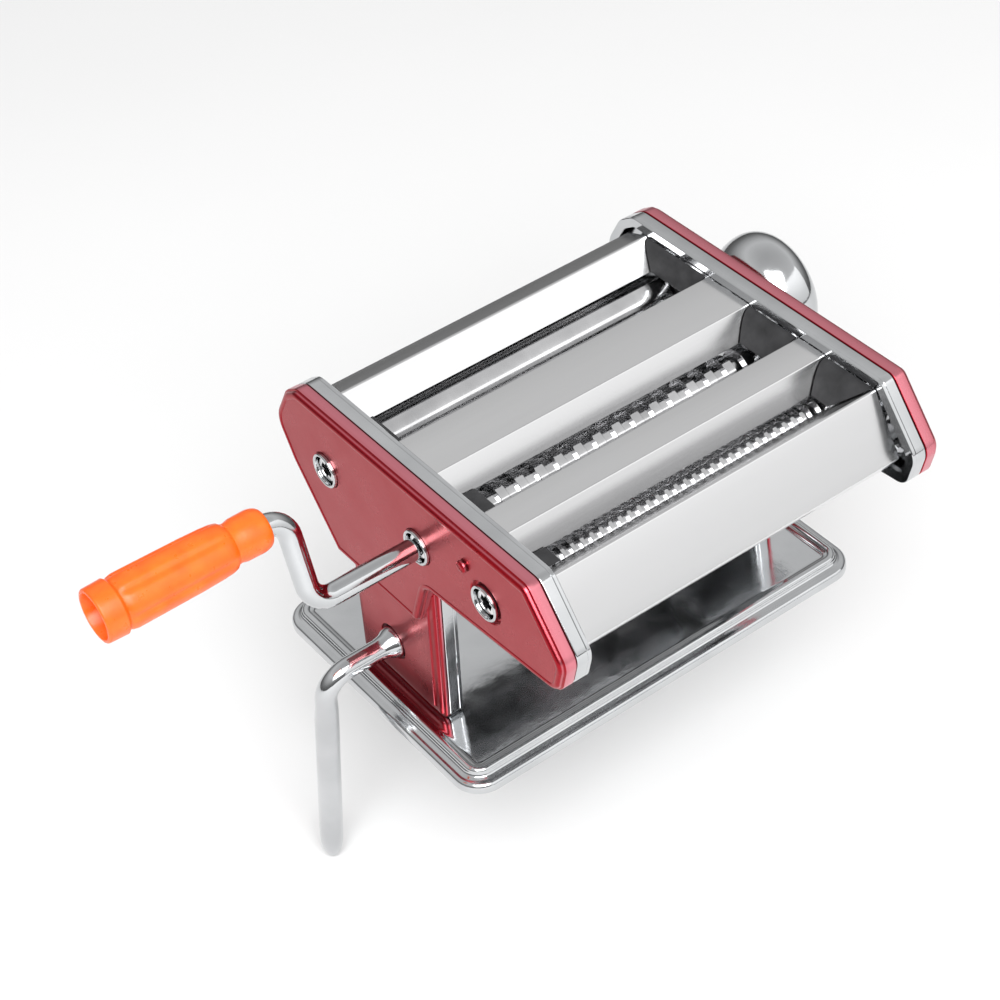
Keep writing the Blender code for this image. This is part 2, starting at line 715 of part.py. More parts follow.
def adjuster_knob(chrome, steel):
    """A dial on the axle that is pulled out against its spring and turned to set the thickness."""
    cap_seat = KNOB_OUTER_X - CAP_DEPTH
    groove_x = KNOB_INNER_X + DETENT_DEPTH
    groove_inner, groove_outer = DETENT_GROOVE
    profile = [
        (KNOB_INNER_X, KNOB_BORE),
        (KNOB_INNER_X, groove_inner),
        (groove_x, groove_inner),
        (groove_x, groove_outer),
        (KNOB_INNER_X, groove_outer),
        (KNOB_INNER_X, KNOB_HUB),
    ]
    for k in range(KNOB_STEPS):   # the hub flares out to the widest part
        a = pi / 2 * k / KNOB_STEPS
        profile.append((KNOB_HUB_X + (KNOB_WIDEST_X - KNOB_HUB_X) * k / KNOB_STEPS,
                        KNOB_HUB + (KNOB_RADIUS - KNOB_HUB) * sin(a)))
    for k in range(KNOB_STEPS + 1):   # and rounds over to the face
        a = pi / 2 * k / KNOB_STEPS
        profile.append((KNOB_WIDEST_X + (KNOB_OUTER_X - KNOB_WIDEST_X) * sin(a),
                        KNOB_FACE + (KNOB_RADIUS - KNOB_FACE) * cos(a)))
    profile += [
        (KNOB_OUTER_X, CAP_SEAT),
        (cap_seat, CAP_SEAT),
        (cap_seat, KNOB_POCKET),
        (KNOB_STEP_X, KNOB_POCKET),
        (KNOB_STEP_X, KNOB_BORE),
    ]
    turned("adjuster_knob", profile, ADJUST_AXIS, chrome, 28, closed=True)
    cap = CAP_SEAT - GAP
    turned("knob_cap", ((cap_seat + GAP, cap), (KNOB_OUTER_X - 0.0002, cap),
                        (KNOB_OUTER_X + 0.0004, cap - 0.0020)), ADJUST_AXIS, chrome, 24)
    turned("detent_pin", ((COVER_INNER, DETENT_RADIUS), (KNOB_INNER_X + 0.0022, DETENT_RADIUS)),
           DETENT_AXIS, steel, 8)
    knob_spring(steel)


def knob_spring(look):
    """A coil round the axle between the knob's inner step and the axle's head."""
    start = KNOB_STEP_X + SPRING_WIRE + GAP
    end = AXLE_HEAD_X - SPRING_WIRE - GAP
    steps = SPRING_TURNS * 10
    centres = []
    for k in range(steps + 1):
        a = tau * SPRING_TURNS * k / steps
        x = start + (end - start) * k / steps
        coil = (ADJUST_AXIS[0] + SPRING_COIL * cos(a), ADJUST_AXIS[1] + SPRING_COIL * sin(a))
        centres.append(Vector((x, *coil)))
    rings = []
    for k, centre in enumerate(centres):
        heading = (centres[min(k + 1, steps)] - centres[max(k - 1, 0)]).normalized()
        across = Vector((1.0, 0.0, 0.0))
        across = (across - heading * across.dot(heading)).normalized()
        depth = heading.cross(across)
        rings.append([centre + (across * cos(a) + depth * sin(a)) * SPRING_WIRE
                      for a in (0.0, tau / 4, tau / 2, tau * 3 / 4)])
    lofted("knob_spring", rings, look, (0.0, *ADJUST_AXIS))


# ---------------------------------------------------------------- crank, grip and clamp lever

def ring_at(centre, first, second, radii):
    """Points round a centre, one for each radius, starting along the first direction."""
    count = len(radii)
    ring = []
    for k, radius in enumerate(radii):
        a = tau * k / count
        ring.append(centre + (first * cos(a) + second * sin(a)) * radius)
    return ring


def directions(path):
    return [(path[min(i + 1, len(path) - 1)] - path[max(i - 1, 0)]).normalized() for i in range(len(path))]


def swept_rings(path, normal, radii):
    """Sections square to a flat path; normal is square to its plane, radii are each section's."""
    rings = []
    for centre, heading, section in zip(path, directions(path), radii):
        rings.append(ring_at(centre, normal, heading.cross(normal), section))
    return rings


def crank_rod(look):
    """A round bar bent twice: out of the socket, along the arm and on through the grip."""
    y, z = WIDE_AXIS
    arm = Vector((0.0, *CRANK_THROW))
    end_x = GRIP_MOUTH_X + GRIP_CUP + 0.0040
    corners = [
        Vector((-SOCKET_FACE - 0.0020, y, z)),
        Vector((CRANK_ARM_X, y, z)),
        Vector((CRANK_ARM_X, y, z)) + arm,
        Vector((end_x, y, z)) + arm,
    ]
    path = bent(corners, CRANK_BEND)
    normal = Vector((1.0, 0.0, 0.0)).cross(arm).normalized()
    rings = swept_rings(path, normal, [[ROD_RADIUS] * 12] * len(path))
    corner = (SOCKET_FLATS / 2 - GAP) / cos(pi / 6)
    hexagon = [corner, corner * cos(pi / 6)] * 6
    tip_x = -SOCKET_FACE + SOCKET_DEPTH - 0.0006
    ends = []
    for x in (tip_x, -SOCKET_FACE - 0.0015):
        ends.append(ring_at(Vector((x, y, z)), Vector((0.0, 1.0, 0.0)), Vector((0.0, 0.0, -1.0)), hexagon))
    shift = nearest(ends[1][0], rings[0])
    rings = [ring[shift:] + ring[:shift] for ring in rings]
    lofted("crank_rod", ends + rings, look, (0.0, y, z))


def nearest(point, ring):
    """The place in a ring of the point nearest to the one given."""
    return min(range(len(ring)), key=lambda k: (ring[k] - point).length)


def crank_grip(look):
    """A fluted plastic handle with a cup in its outer end; the bar turns in a bore in the other."""
    axis = (WIDE_AXIS[0] + CRANK_THROW[0], WIDE_AXIS[1] + CRANK_THROW[1])
    bore = ROD_RADIUS + GAP
    cup_x = GRIP_MOUTH_X + GRIP_CUP
    collar_x = GRIP_MOUTH_X + GRIP_COLLAR
    profile = (                   # (x, radius, depth of the flutes)
        (cup_x, GRIP_BORE - 0.0006, 0.0),
        (GRIP_MOUTH_X, GRIP_BORE, 0.0),
        (GRIP_MOUTH_X, GRIP_RADIUS - 0.0006, 0.0),
        (GRIP_MOUTH_X + 0.0010, GRIP_RADIUS, 0.0),
        (collar_x, GRIP_RADIUS + 0.0002, 0.0),
        (collar_x + 0.0006, GRIP_RADIUS - 0.0006, 0.0),
        (collar_x + 0.0060, GRIP_RADIUS, GRIP_FLUTE),
        (GRIP_NECK_X - 0.0200, GRIP_RADIUS - 0.0008, GRIP_FLUTE),
        (GRIP_NECK_X - 0.0150, GRIP_RADIUS - 0.0016, 0.0),
        (GRIP_NECK_X - 0.0130, GRIP_NECK, 0.0),
        (GRIP_NECK_X - 0.0040, GRIP_NECK, 0.0),
        (GRIP_NECK_X - 0.0010, GRIP_NECK - 0.0014, 0.0),
        (GRIP_NECK_X, GRIP_NECK - 0.0022, 0.0),
        (GRIP_NECK_X, bore, 0.0),
        (cup_x + 0.0030, bore, 0.0),
    )
    rings = []
    for x, radius, flute in profile:
        radii = [radius - (flute if k % 4 == 0 else 0.0) for k in range(GRIP_SIDES)]
        centre = Vector((x, *axis))
        rings.append(ring_at(centre, Vector((0.0, 1.0, 0.0)), Vector((0.0, 0.0, 1.0)), radii))
    lofted("crank_grip", rings, look, (0.0, *axis))


def clamp_lever(look):
    """A bar from the hole in the leg, bent down and flattened, with a rounded chisel end."""
    y, z = LEVER_AXIS
    down = Vector((0.0, sin(LEVER_TILT), -cos(LEVER_TILT)))
    corner = Vector((LEVER_X, y, z))
    path = bent([Vector((-0.0960, y, z)), corner, corner + down * LEVER_LENGTH], LEVER_BEND)
    normal = Vector((1.0, 0.0, 0.0)).cross(down).normalized()
    widths = [(LEVER_RADIUS, LEVER_RADIUS)] * (len(path) - 1)
    bend_end = path[-2]
    tail = corner + down * LEVER_LENGTH
    path = path[:-1]
    for share, width, depth in LEVER_BLADE:
        path.append(bend_end + (tail - bend_end) * share)
        widths.append((width, depth))
    path = [Vector((x, y, z)) for x, _ in LEVER_HEAD] + path
    widths = [(radius, radius) for _, radius in LEVER_HEAD] + widths
    rings = []
    for centre, heading, (width, depth) in zip(path, directions(path), widths):
        across = heading.cross(normal)
        rings.append(ring_at(centre, normal * width, across * depth, [1.0] * 12))
    lofted("clamp_lever", rings, look, (0.0, y, z))


def build():
    clear_scene()
    chrome = material("chrome", (0.72, 0.73, 0.74), 0.12, 1.0)
    stainless = material("stainless_sheet", (0.62, 0.62, 0.62), 0.28, 1.0)
    steel = material("roller_steel", (0.75, 0.75, 0.76), 0.15, 1.0)
    red = material("red_lacquer", (0.42, 0.03, 0.06), 0.22, 0.6)
    black = material("black_nylon", (0.02, 0.02, 0.02), 0.45)
    rubber = material("rubber", (0.03, 0.03, 0.03), 0.8)
    iron = material("gear_steel", (0.35, 0.35, 0.36), 0.4, 1.0)
    orange = material("orange_plastic", (0.95, 0.25, 0.02), 0.35)

    base_tray(chrome)
    for depth, y in (("front", -FOOT_Y), ("rear", FOOT_Y)):
        for label, x in (("left", -FOOT_X), ("right", FOOT_X)):
            rubber_foot(f"rubber_foot_{depth}_{label}", x, y, rubber)
    for label, side in (("left", -1), ("right", 1)):
        side_frame(f"side_frame_{label}", side, chrome)
        side_cover(f"side_cover_{label}", side, red)
        for pair, trough, right_length, left_length in GUIDES:
            length = right_length if side > 0 else left_length
            end_guide(f"end_guide_{pair}_{label}", side, trough, length, black)
    for label, axis in SOCKETS:
        socket_collar(f"socket_collar_{label}", axis, chrome)
    cover_screw(red)
    panels(stainless)
    smooth_rollers(steel, iron)
    eccentric_axle(steel)
    cutters(steel, iron)
    bearings(black)
    inner_parts(steel)
    adjuster_knob(chrome, steel)
    crank_rod(chrome)
    crank_grip(orange)
    clamp_lever(chrome)


build()
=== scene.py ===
"""Looks of a hand-cranked pasta machine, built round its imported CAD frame.

All sizes are in metres, in the frame's own axes: X runs along the rollers from the crank to the
thickness knob, -Y is the front and Z is up from the table.
"""

import json
from math import atan2, cos, pi, radians, sin, tan, tau

import bmesh
import bpy
from mathutils import Matrix, Vector


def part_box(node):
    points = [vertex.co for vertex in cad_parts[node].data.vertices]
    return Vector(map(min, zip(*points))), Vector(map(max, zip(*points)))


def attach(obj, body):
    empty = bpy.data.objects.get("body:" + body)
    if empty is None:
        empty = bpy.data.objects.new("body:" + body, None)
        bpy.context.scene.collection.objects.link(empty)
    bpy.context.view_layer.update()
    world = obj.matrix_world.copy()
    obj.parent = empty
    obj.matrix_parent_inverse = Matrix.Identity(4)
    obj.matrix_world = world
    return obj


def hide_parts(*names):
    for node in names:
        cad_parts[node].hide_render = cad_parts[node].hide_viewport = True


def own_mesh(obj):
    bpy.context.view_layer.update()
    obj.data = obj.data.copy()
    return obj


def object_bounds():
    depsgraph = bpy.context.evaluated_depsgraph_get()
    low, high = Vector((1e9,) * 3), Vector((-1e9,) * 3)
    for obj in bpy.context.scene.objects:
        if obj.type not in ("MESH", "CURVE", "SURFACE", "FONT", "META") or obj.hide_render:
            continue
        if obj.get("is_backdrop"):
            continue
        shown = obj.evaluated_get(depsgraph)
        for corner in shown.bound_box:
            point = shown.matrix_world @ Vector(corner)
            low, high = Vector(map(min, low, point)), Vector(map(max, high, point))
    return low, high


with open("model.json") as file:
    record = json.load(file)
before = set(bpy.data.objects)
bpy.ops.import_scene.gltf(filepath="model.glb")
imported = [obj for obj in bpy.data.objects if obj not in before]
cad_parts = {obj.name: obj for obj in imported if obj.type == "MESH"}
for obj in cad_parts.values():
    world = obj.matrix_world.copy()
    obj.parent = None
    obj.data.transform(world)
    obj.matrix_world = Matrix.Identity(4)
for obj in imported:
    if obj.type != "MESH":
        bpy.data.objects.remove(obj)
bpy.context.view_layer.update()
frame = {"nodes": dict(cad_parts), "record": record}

# Sections along the rollers
SHEET_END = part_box("front_panel")[1].x
RIM_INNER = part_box("side_frame_right")[0].x
FRAME_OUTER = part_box("side_frame_right")[1].x
COVER_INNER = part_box("side_cover_right")[0].x
COVER_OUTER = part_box("side_cover_right")[1].x
COVER_FACE = COVER_OUTER - 0.0003
LEG_FACE = 0.0857
PLATE_INNER = 0.0800

# Side view: (y, z, corner radius) from the top front round to the back
RIM_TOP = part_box("side_frame_right")[1].z
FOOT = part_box("side_frame_right")[0].z
FRONT_CORNERS = ((-0.1010, RIM_TOP, 0.0050), (-0.1205, 0.1060, 0.0080), (-0.1160, 0.0905, 0.0070))
BACK_CORNERS = (
    (0.0520, 0.0920, 0.0140),
    (0.0610, 0.1100, 0.0120),
    (0.0515, 0.1260, 0.0120),
    (0.0430, RIM_TOP, 0.0080),
)
LEG_CORNERS = (
    (-0.0355, 0.0840, 0.0100),
    (-0.0300, FOOT, 0.0030),
    (0.0270, FOOT, 0.0030),
    (0.0245, 0.0560, 0.0100),
)
LEG_STEP = 0.0600
WAIST_CORNERS = ((-0.0355, 0.0840, 0.0080), (-0.0262, LEG_STEP, 0.0030), (0.0276, LEG_STEP, 0.0012))
SHIN_CORNERS = (                  # its top is inside the upper part of the cover
    (-0.0350, 0.0780, 0.0020),
    (-0.0300, FOOT, 0.0030),
    (0.0270, FOOT, 0.0030),
    (0.0240, 0.0780, 0.0020),
)
FLANGE = 0.0012
LIP = 0.0040                      # height of the lip along the flange's inner edge
LIP_THICKNESS = 0.0008

# Folded sheets, each from the rear to the front of its outer side
CREST = 0.1275
SLOT = 0.1170
WALL_FOOT = 0.1150                # the front walls of the two rear troughs end below the slots' rear edges
SHEETS = (
    ("back_panel", ((0.0520, 0.0900), (0.0530, 0.1080), (0.0450, 0.1235), (0.0338, CREST), (0.0250, SLOT))),
    ("centre_panel_back", ((0.0010, WALL_FOOT), (-0.0042, CREST), (-0.0285, CREST), (-0.0344, SLOT))),
    ("centre_panel_front", ((-0.0530, WALL_FOOT), (-0.0570, CREST), (-0.0715, CREST), (-0.0766, SLOT))),
    ("front_panel", ((-0.0864, SLOT), (-0.0990, CREST), (-0.1126, 0.1023), (-0.1080, 0.0960))),
)
TROUGHS = (                       # front crest, foot of the front wall, rear edge, rear crest
    ("smooth", (-0.0042, 0.0010, 0.0250, 0.0338)),
    ("wide", (-0.0570, -0.0530, -0.0344, -0.0285)),
    ("fine", (-0.0990, -0.0864, -0.0766, -0.0715)),
)


def middle(node):
    """The axis, as (y, z), of a turned node."""
    lo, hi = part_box(node)
    return ((lo.y + hi.y) / 2, (lo.z + hi.z) / 2)


# Axes, as (y, z)
SMOOTH_AXIS = (0.0263, 0.1028)
MOVING_AXIS = middle("smooth_roller_moving")
KNOB_AXIS = middle("adjuster_knob")
WIDE_AXIS = (-0.0340, 0.1045)
WIDE_PARTNER = (-0.0500, 0.1045)
FINE_AXIS = (-0.0760, 0.1065)
FINE_PARTNER = (-0.0882, 0.1065)
GRIP_AXIS = (-0.0235, 0.1400)
LEVER_AXIS = (0.0000, 0.0290)
SCREW_AXIS = (-0.0640, 0.1160)

# Rollers
BARREL_HALF = 0.0752
SMOOTH_RADIUS = 0.0105
WIDE_DISC = 0.0086
WIDE_CORE = 0.0066
WIDE_DISCS = 16
FINE_DISC = 0.0066
FINE_CORE = 0.0050
FINE_DISCS = 34
DISC_SHARE = 0.44                 # of the pitch
DISC_CHAMFER = 0.00018
DRIVE_JOURNAL = 0.0052
JOURNAL = 0.0040
FINE_JOURNAL = 0.0030
SHAFT_CHAMFER = 0.0004
SHAFT_GAP = 0.0006                # from a barrel's end to the step of its shaft
SHAFT_END = COVER_INNER - 0.0005  # just short of the cover
BARREL_EDGE = 0.0005
TUBE_BORE = JOURNAL + 0.0004
SOCKET_FACE = 0.0886
SOCKET_DEPTH = 0.0120
SOCKET_ARM = (0.0062, 0.0030)     # length and width of each arm of the cross
SOCKET_CORE = 0.0021
SOCKET_HEX = 0.00375              # from the axis to a corner
CUT_PAST = 0.0100                 # how far a socket's cutter stands out of the shaft
COLLAR_OUTER = 0.0073
COLLAR_INNER = 0.0060
COLLAR_FACE = -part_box("socket_collar_wide")[0].x
RECESS = 0.0087
RECESS_DEPTH = 0.0016

# Holes through the frames and covers
HOLE_PAST = 0.0020                # how far a cutter runs past both faces
HOLE_CHAMFER = 0.0003
COLLAR_HOLE = COLLAR_OUTER + 0.0002
WIDE_SLOT = 0.0073
FINE_SLOT = 0.0069
SMOOTH_HOLE = 0.0083
AXLE_HOLE = 0.0063
KNOB_HOLE = 0.0046
SCREW_HOLE = 0.0018
DETENT_HOLE = 0.0015
DETENT_RISE = 0.0080              # above the knob's axis

# Black guides at the ends of the troughs
GUIDE_GAP = 0.0006                # from the guide to each wall of its trough
GUIDE_TIP = 0.0004                # height of the guide's low end

# Crank, grip and lever
ROD_RADIUS = 0.0044
ROD_SIDES = 24
ROD_START_X = -0.0906
HEX_FLAT = 0.00295                # from the axis to a flat side of the crank's end
HEX_STANDS_OUT = 0.0015           # how far the hexagon shows outside the socket
ARM_X = -0.1345
ROD_BEND = 0.0085
NECK_X = -0.1425
MOUTH_X = -0.2110
GRIP_RADIUS = 0.0104
GRIP_SIDES = 96
CUP_DEPTH = 0.0120
FLUTES = 6
FLUTE_DEPTH = 0.0009
NECK_RADIUS = 0.0083
LEVER_X = -0.1180
LEVER_LENGTH = 0.1220
LEVER_TILT = 0.18                 # radians from straight down, towards the back
LEVER_BEND = 0.0115
LEVER_HOLE = 0.0078
BLADE_HALF = 0.0052
BLADE_DEPTH = 0.0048
BLADE_TIP = 0.88                  # share of the way down where the tip starts
LEVER_HEAD_X = -0.0965           # where the flared head has become the round bar
LEVER_SIDES = 32

# Knob
KNOB_HUB = 0.0135
KNOB_FACE = 0.0187
KNOB_HUB_X = 0.0965
KNOB_WIDEST_X = 0.1121
KNOB_BORE = 0.0044
KNOB_SLEEVE = 0.0062
KNOB_GROOVE = 0.0098              # outer radius of the ring groove that the detent pin runs in
KNOB_GROOVE_DEPTH = 0.0035
KNOB_EDGE = 0.0008
KNOB_DISH = 0.0117
KNOB_DISH_DEPTH = 0.0015
KNOB_WELL = 0.0070
KNOB_WELL_X = 0.0970
KNOB_SIDES = 96
SPRING_WIRE = 0.0005
SPRING_COIL = 0.0055
SPRING_TURNS = 5

# Base tray
TRAY_CORNER = 0.0120
TRAY_CORNER_LEAST = 0.0015        # for the outlines inside the beads

# Camera: straight distances and angles of the view from the front left
VIEW_FROM = (-0.42382, -0.61118, 0.70432)
VIEW_AZIMUTH = radians(32.85)
VIEW_ELEVATION = radians(41.10)
VIEW_ROLL = radians(6.03)
VIEW_LENS = 88.87

# Grey of the room by height: (sine of the elevation, grey)
SKY = ((0.0, 0.14), (0.19, 0.26), (0.66, 0.82), (1.0, 0.60))

ROUND = 48
ARC_STEPS = 10
SMALLEST_ARC = 0.0004
SMOOTH_ANGLE = 0.6                # radians; sharper edges stay sharp
ALONG_X = Vector((1.0, 0.0, 0.0))
ALONG_Y = Vector((0.0, 1.0, 0.0))
ALONG_Z = Vector((0.0, 0.0, 1.0))


# ---------------------------------------------------------------- materials

def by_identifier(sockets, identifier):
    """A socket of a Mix node, whose sockets share their names."""
    return next(socket for socket in sockets if socket.identifier == identifier)


class Look:
    """A Principled material whose colour, roughness and bump come from noises in object space."""

    def __init__(self, name, **constants):
        self.made = bpy.data.materials.new(name)
        self.made.use_nodes = True
        self.nodes = self.made.node_tree.nodes
        self.links = self.made.node_tree.links
        self.shader = self.nodes["Principled BSDF"]
        self.place = self.nodes.new("ShaderNodeTexCoord").outputs["Object"]
        self.normal = None
        for key, value in constants.items():
            self.shader.inputs[key.replace("_", " ")].default_value = value

    def noise(self, scale, stretch=(1.0, 1.0, 1.0), detail=3.0):
        """Noise with the given number of waves to a metre, finer along the stretched axes."""
        mapping = self.nodes.new("ShaderNodeMapping")
        mapping.inputs["Scale"].default_value = stretch
        texture = self.nodes.new("ShaderNodeTexNoise")
        texture.inputs["Scale"].default_value = scale
        texture.inputs["Detail"].default_value = detail
        self.links.new(self.place, mapping.inputs["Vector"])
        self.links.new(mapping.outputs["Vector"], texture.inputs["Vector"])
        return texture.outputs["Fac"]

    def cells(self, scale):
        """Small cells, each with its own even value."""
        texture = self.nodes.new("ShaderNodeTexVoronoi")
        texture.inputs["Scale"].default_value = scale
        self.links.new(self.place, texture.inputs["Vector"])
        return texture.outputs["Color"]

    def colour(self, fac, dark, light, low=0.3, high=0.7):
        """Colours the surface from dark to light as the factor goes from low to high."""
        ramp = self.nodes.new("ShaderNodeValToRGB")
        ramp.color_ramp.elements[0].position = low
        ramp.color_ramp.elements[1].position = high
        ramp.color_ramp.elements[0].color = (*dark, 1.0)
        ramp.color_ramp.elements[1].color = (*light, 1.0)
        self.links.new(fac, ramp.inputs["Fac"])
        self.links.new(ramp.outputs["Color"], self.shader.inputs["Base Color"])

    def painted_sheen_edges(self, pale):
        """Paints a sheen: mixes in a paler colour where the surface doesn't face along X, standing in for
        the light that the bevels catch.
        """
        normal = self.nodes.new("ShaderNodeTexCoord").outputs["Normal"]
        split = self.nodes.new("ShaderNodeSeparateXYZ")
        size = self.nodes.new("ShaderNodeMath")
        size.operation = "ABSOLUTE"
        # Mask of the painted sheen: none where the face looks along X, full where it turns away from X.
        edge = self.nodes.new("ShaderNodeMapRange")
        edge.inputs["From Min"].default_value = 0.55
        edge.inputs["From Max"].default_value = 0.05
        mix = self.nodes.new("ShaderNodeMix")
        mix.data_type = "RGBA"
        base = self.shader.inputs["Base Color"].links[0].from_socket
        self.links.new(normal, split.inputs["Vector"])
        self.links.new(split.outputs["X"], size.inputs[0])
        self.links.new(size.outputs["Value"], edge.inputs["Value"])
        self.links.new(edge.outputs["Result"], mix.inputs["Factor"])
        self.links.new(base, by_identifier(mix.inputs, "A_Color"))
        by_identifier(mix.inputs, "B_Color").default_value = (*pale, 1.0)
        self.links.new(by_identifier(mix.outputs, "Result_Color"), self.shader.inputs["Base Color"])

    def roughness(self, fac, low, high):
        """Spreads the middle of the factor's range over roughness from low to high."""
        spread = self.nodes.new("ShaderNodeMapRange")
        spread.inputs["From Min"].default_value = 0.3
        spread.inputs["From Max"].default_value = 0.7
        spread.inputs["To Min"].default_value = low
        spread.inputs["To Max"].default_value = high
        self.links.new(fac, spread.inputs["Value"])
        self.links.new(spread.outputs["Result"], self.shader.inputs["Roughness"])

    def bump(self, fac, depth):
        """Adds relief of the given depth in metres to any there is already."""
        bump = self.nodes.new("ShaderNodeBump")
        bump.inputs["Distance"].default_value = depth
        bump.inputs["Strength"].default_value = 1.0
        self.links.new(fac, bump.inputs["Height"])
        if self.normal:
            self.links.new(self.normal, bump.inputs["Normal"])
        self.normal = bump.outputs["Normal"]
        self.links.new(self.normal, self.shader.inputs["Normal"])


def chrome_plate():
    """Bright plate: faint waves of the metal under it, hairlines and dull fingermarks."""
    look = Look("chrome", Metallic=1.0)
    look.colour(look.noise(45.0), (0.49, 0.50, 0.51), (0.57, 0.58, 0.59))
    look.roughness(look.noise(90.0, detail=6.0), 0.07, 0.15)
    look.bump(look.noise(120.0), 0.00006)
    look.bump(look.noise(1500.0, (1.0, 0.05, 1.0)), 0.000006)
    return look.made


def satin_sheet():
    """Stainless sheet, rolled along X: fine lines, and broad faint bands of shade."""
    look = Look("stainless_sheet", Metallic=1.0)
    look.colour(look.noise(12.0, (0.2, 3.0, 3.0)), (0.63, 0.63, 0.635), (0.68, 0.68, 0.685))
    look.roughness(look.noise(900.0, (0.02, 1.0, 1.0), 5.0), 0.20, 0.24)
    look.bump(look.noise(1200.0, (0.01, 1.0, 1.0), 2.0), 0.0000003)
    return look.made


def polished_steel():
    """Ground rollers: fine rings round the axis and light oil stains."""
    look = Look("roller_steel", Metallic=1.0)
    look.colour(look.noise(70.0), (0.62, 0.62, 0.63), (0.80, 0.80, 0.81))
    look.roughness(look.noise(200.0, (4.0, 1.0, 1.0)), 0.08, 0.18)
    look.bump(look.noise(3000.0, (1.0, 0.02, 0.02)), 0.000005)
    return look.made


def oiled_steel():
    """Gears and other inner steel: darker, with machining marks and oil."""
    look = Look("gear_steel", Metallic=1.0)
    look.colour(look.noise(250.0, detail=6.0), (0.16, 0.155, 0.15), (0.38, 0.38, 0.38))
    look.roughness(look.noise(150.0), 0.25, 0.50)
    look.bump(look.noise(1800.0), 0.00002)
    return look.made


def red_lacquer():
    """Deep red over metal flake, with a painted pink sheen where a face turns away from the cover's plane.
    """
    look = Look("red_lacquer", Metallic=0.95, Coat_Weight=0.08, Coat_Roughness=0.05)
    look.colour(look.cells(5000.0), (0.30, 0.006, 0.014), (0.36, 0.009, 0.019), 0.1, 0.9)
    # Painted highlight: a pale pink mixed in where the face turns away from X, for the light that the
    # bevels and top band catch.
    look.painted_sheen_edges((0.62, 0.20, 0.24))
    look.roughness(look.noise(60.0), 0.24, 0.34)
    look.bump(look.noise(420.0), 0.000012)
    return look.made


def orange_plastic():
    """Moulded plastic: slightly cloudy colour and a soft pebbled skin."""
    look = Look("orange_plastic", Subsurface_Weight=0.12, Subsurface_Scale=0.003)
    look.colour(look.noise(130.0), (0.90, 0.105, 0.003), (0.96, 0.145, 0.007))
    look.roughness(look.noise(300.0), 0.26, 0.40)
    look.bump(look.noise(900.0), 0.00003)
    return look.made


def black_nylon():
    """Moulded guides and bearings: nearly black, dull and finely grained."""
    look = Look("black_nylon")
    look.colour(look.noise(150.0), (0.010, 0.010, 0.011), (0.028, 0.028, 0.030))
    look.roughness(look.noise(200.0), 0.42, 0.60)
    look.bump(look.noise(1600.0), 0.00003)
    return look.made


def foot_rubber():
    """Matt feet with a coarser grain."""
    look = Look("rubber")
    look.colour(look.noise(200.0), (0.018, 0.018, 0.018), (0.045, 0.045, 0.044))
    look.roughness(look.noise(300.0), 0.65, 0.85)
    look.bump(look.noise(1200.0), 0.00008)
    return look.made


LOOKS = {
    "chrome": chrome_plate(),
    "stainless_sheet": satin_sheet(),
    "roller_steel": polished_steel(),
    "gear_steel": oiled_steel(),
    "red_lacquer": red_lacquer(),
    "orange_plastic": orange_plastic(),
    "black_nylon": black_nylon(),
    "rubber": foot_rubber(),
}


# ---------------------------------------------------------------- mesh helpers

def mesh_object(name, bm):
    """Turns a bmesh into an object of the scene, with its faces turned outwards."""
    bmesh.ops.recalc_face_normals(bm, faces=bm.faces)
    mesh = bpy.data.meshes.new(name)
    bm.to_mesh(mesh)
    bm.free()
    made = bpy.data.objects.new(name, mesh)
    bpy.context.scene.collection.objects.link(made)
    return made


def dress(made, slot, body, nodes):
    """Shades a finished piece and ties it to its material, its body and the CAD nodes it stands for."""
    made.data.shade_smooth()
    made.data.set_sharp_from_angle(angle=SMOOTH_ANGLE)
    made.data.materials.clear()
    made.data.materials.append(LOOKS[slot])
    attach(made, body)
    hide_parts(*nodes)


def block(name, centre, turn, size):
    """A box of the given size, turned about X by an angle, for a cutter."""
    bm = bmesh.new()
    place = Matrix.Translation(centre) @ Matrix.Rotation(turn, 4, "X") @ Matrix.Diagonal((*size, 1.0))
    bmesh.ops.create_cube(bm, size=1.0, matrix=place)
    return mesh_object(name, bm)


def skin(rings, closed=False):
    """A bmesh through rings of points, capped at both ends unless they meet."""
    bm = bmesh.new()
    loops = [[bm.verts.new(point) for point in ring] for ring in rings]
    pairs = list(zip(loops, loops[1:]))
    if closed:
        pairs.append((loops[-1], loops[0]))
    else:
        bm.faces.new(loops[0])
        bm.faces.new(loops[-1])
    for one, two in pairs:
        count = len(one)
        for i in range(count):
            j = (i + 1) % count
            bm.faces.new((one[i], one[j], two[j], two[i]))
    return bm


def circle(x, radius, axis, sides=ROUND):
    """A ring of points round an axis that runs along X through (y, z)."""
    angles = [tau * i / sides for i in range(sides)]
    return [(x, axis[0] + radius * cos(a), axis[1] + radius * sin(a)) for a in angles]


def turned(name, profile, axis, sides=ROUND, closed=False):
    """Turns a profile of (x, radius) points about the axis."""
    return mesh_object(name, skin([circle(x, radius, axis, sides) for x, radius in profile], closed))


def rounded(corners, steps=ARC_STEPS):
    """The outline through corners given as (across, up, radius), each turned by an arc."""
    outline = []
    for i, (across, up, radius) in enumerate(corners):
        corner = Vector((across, up))
        before = (Vector(corners[i - 1][:2]) - corner).normalized()
        after = (Vector(corners[(i + 1) % len(corners)][:2]) - corner).normalized()
        half = before.angle(after) / 2
        centre = (before + after).normalized() * radius / sin(half)
        spoke = before * radius / tan(half) - centre
        sweep = pi - 2 * half
        if before.cross(after) > 0:
            sweep = -sweep
        for k in range(steps + 1):
            outline.append(corner + centre + Matrix.Rotation(sweep * k / steps, 2) @ spoke)
    return outline


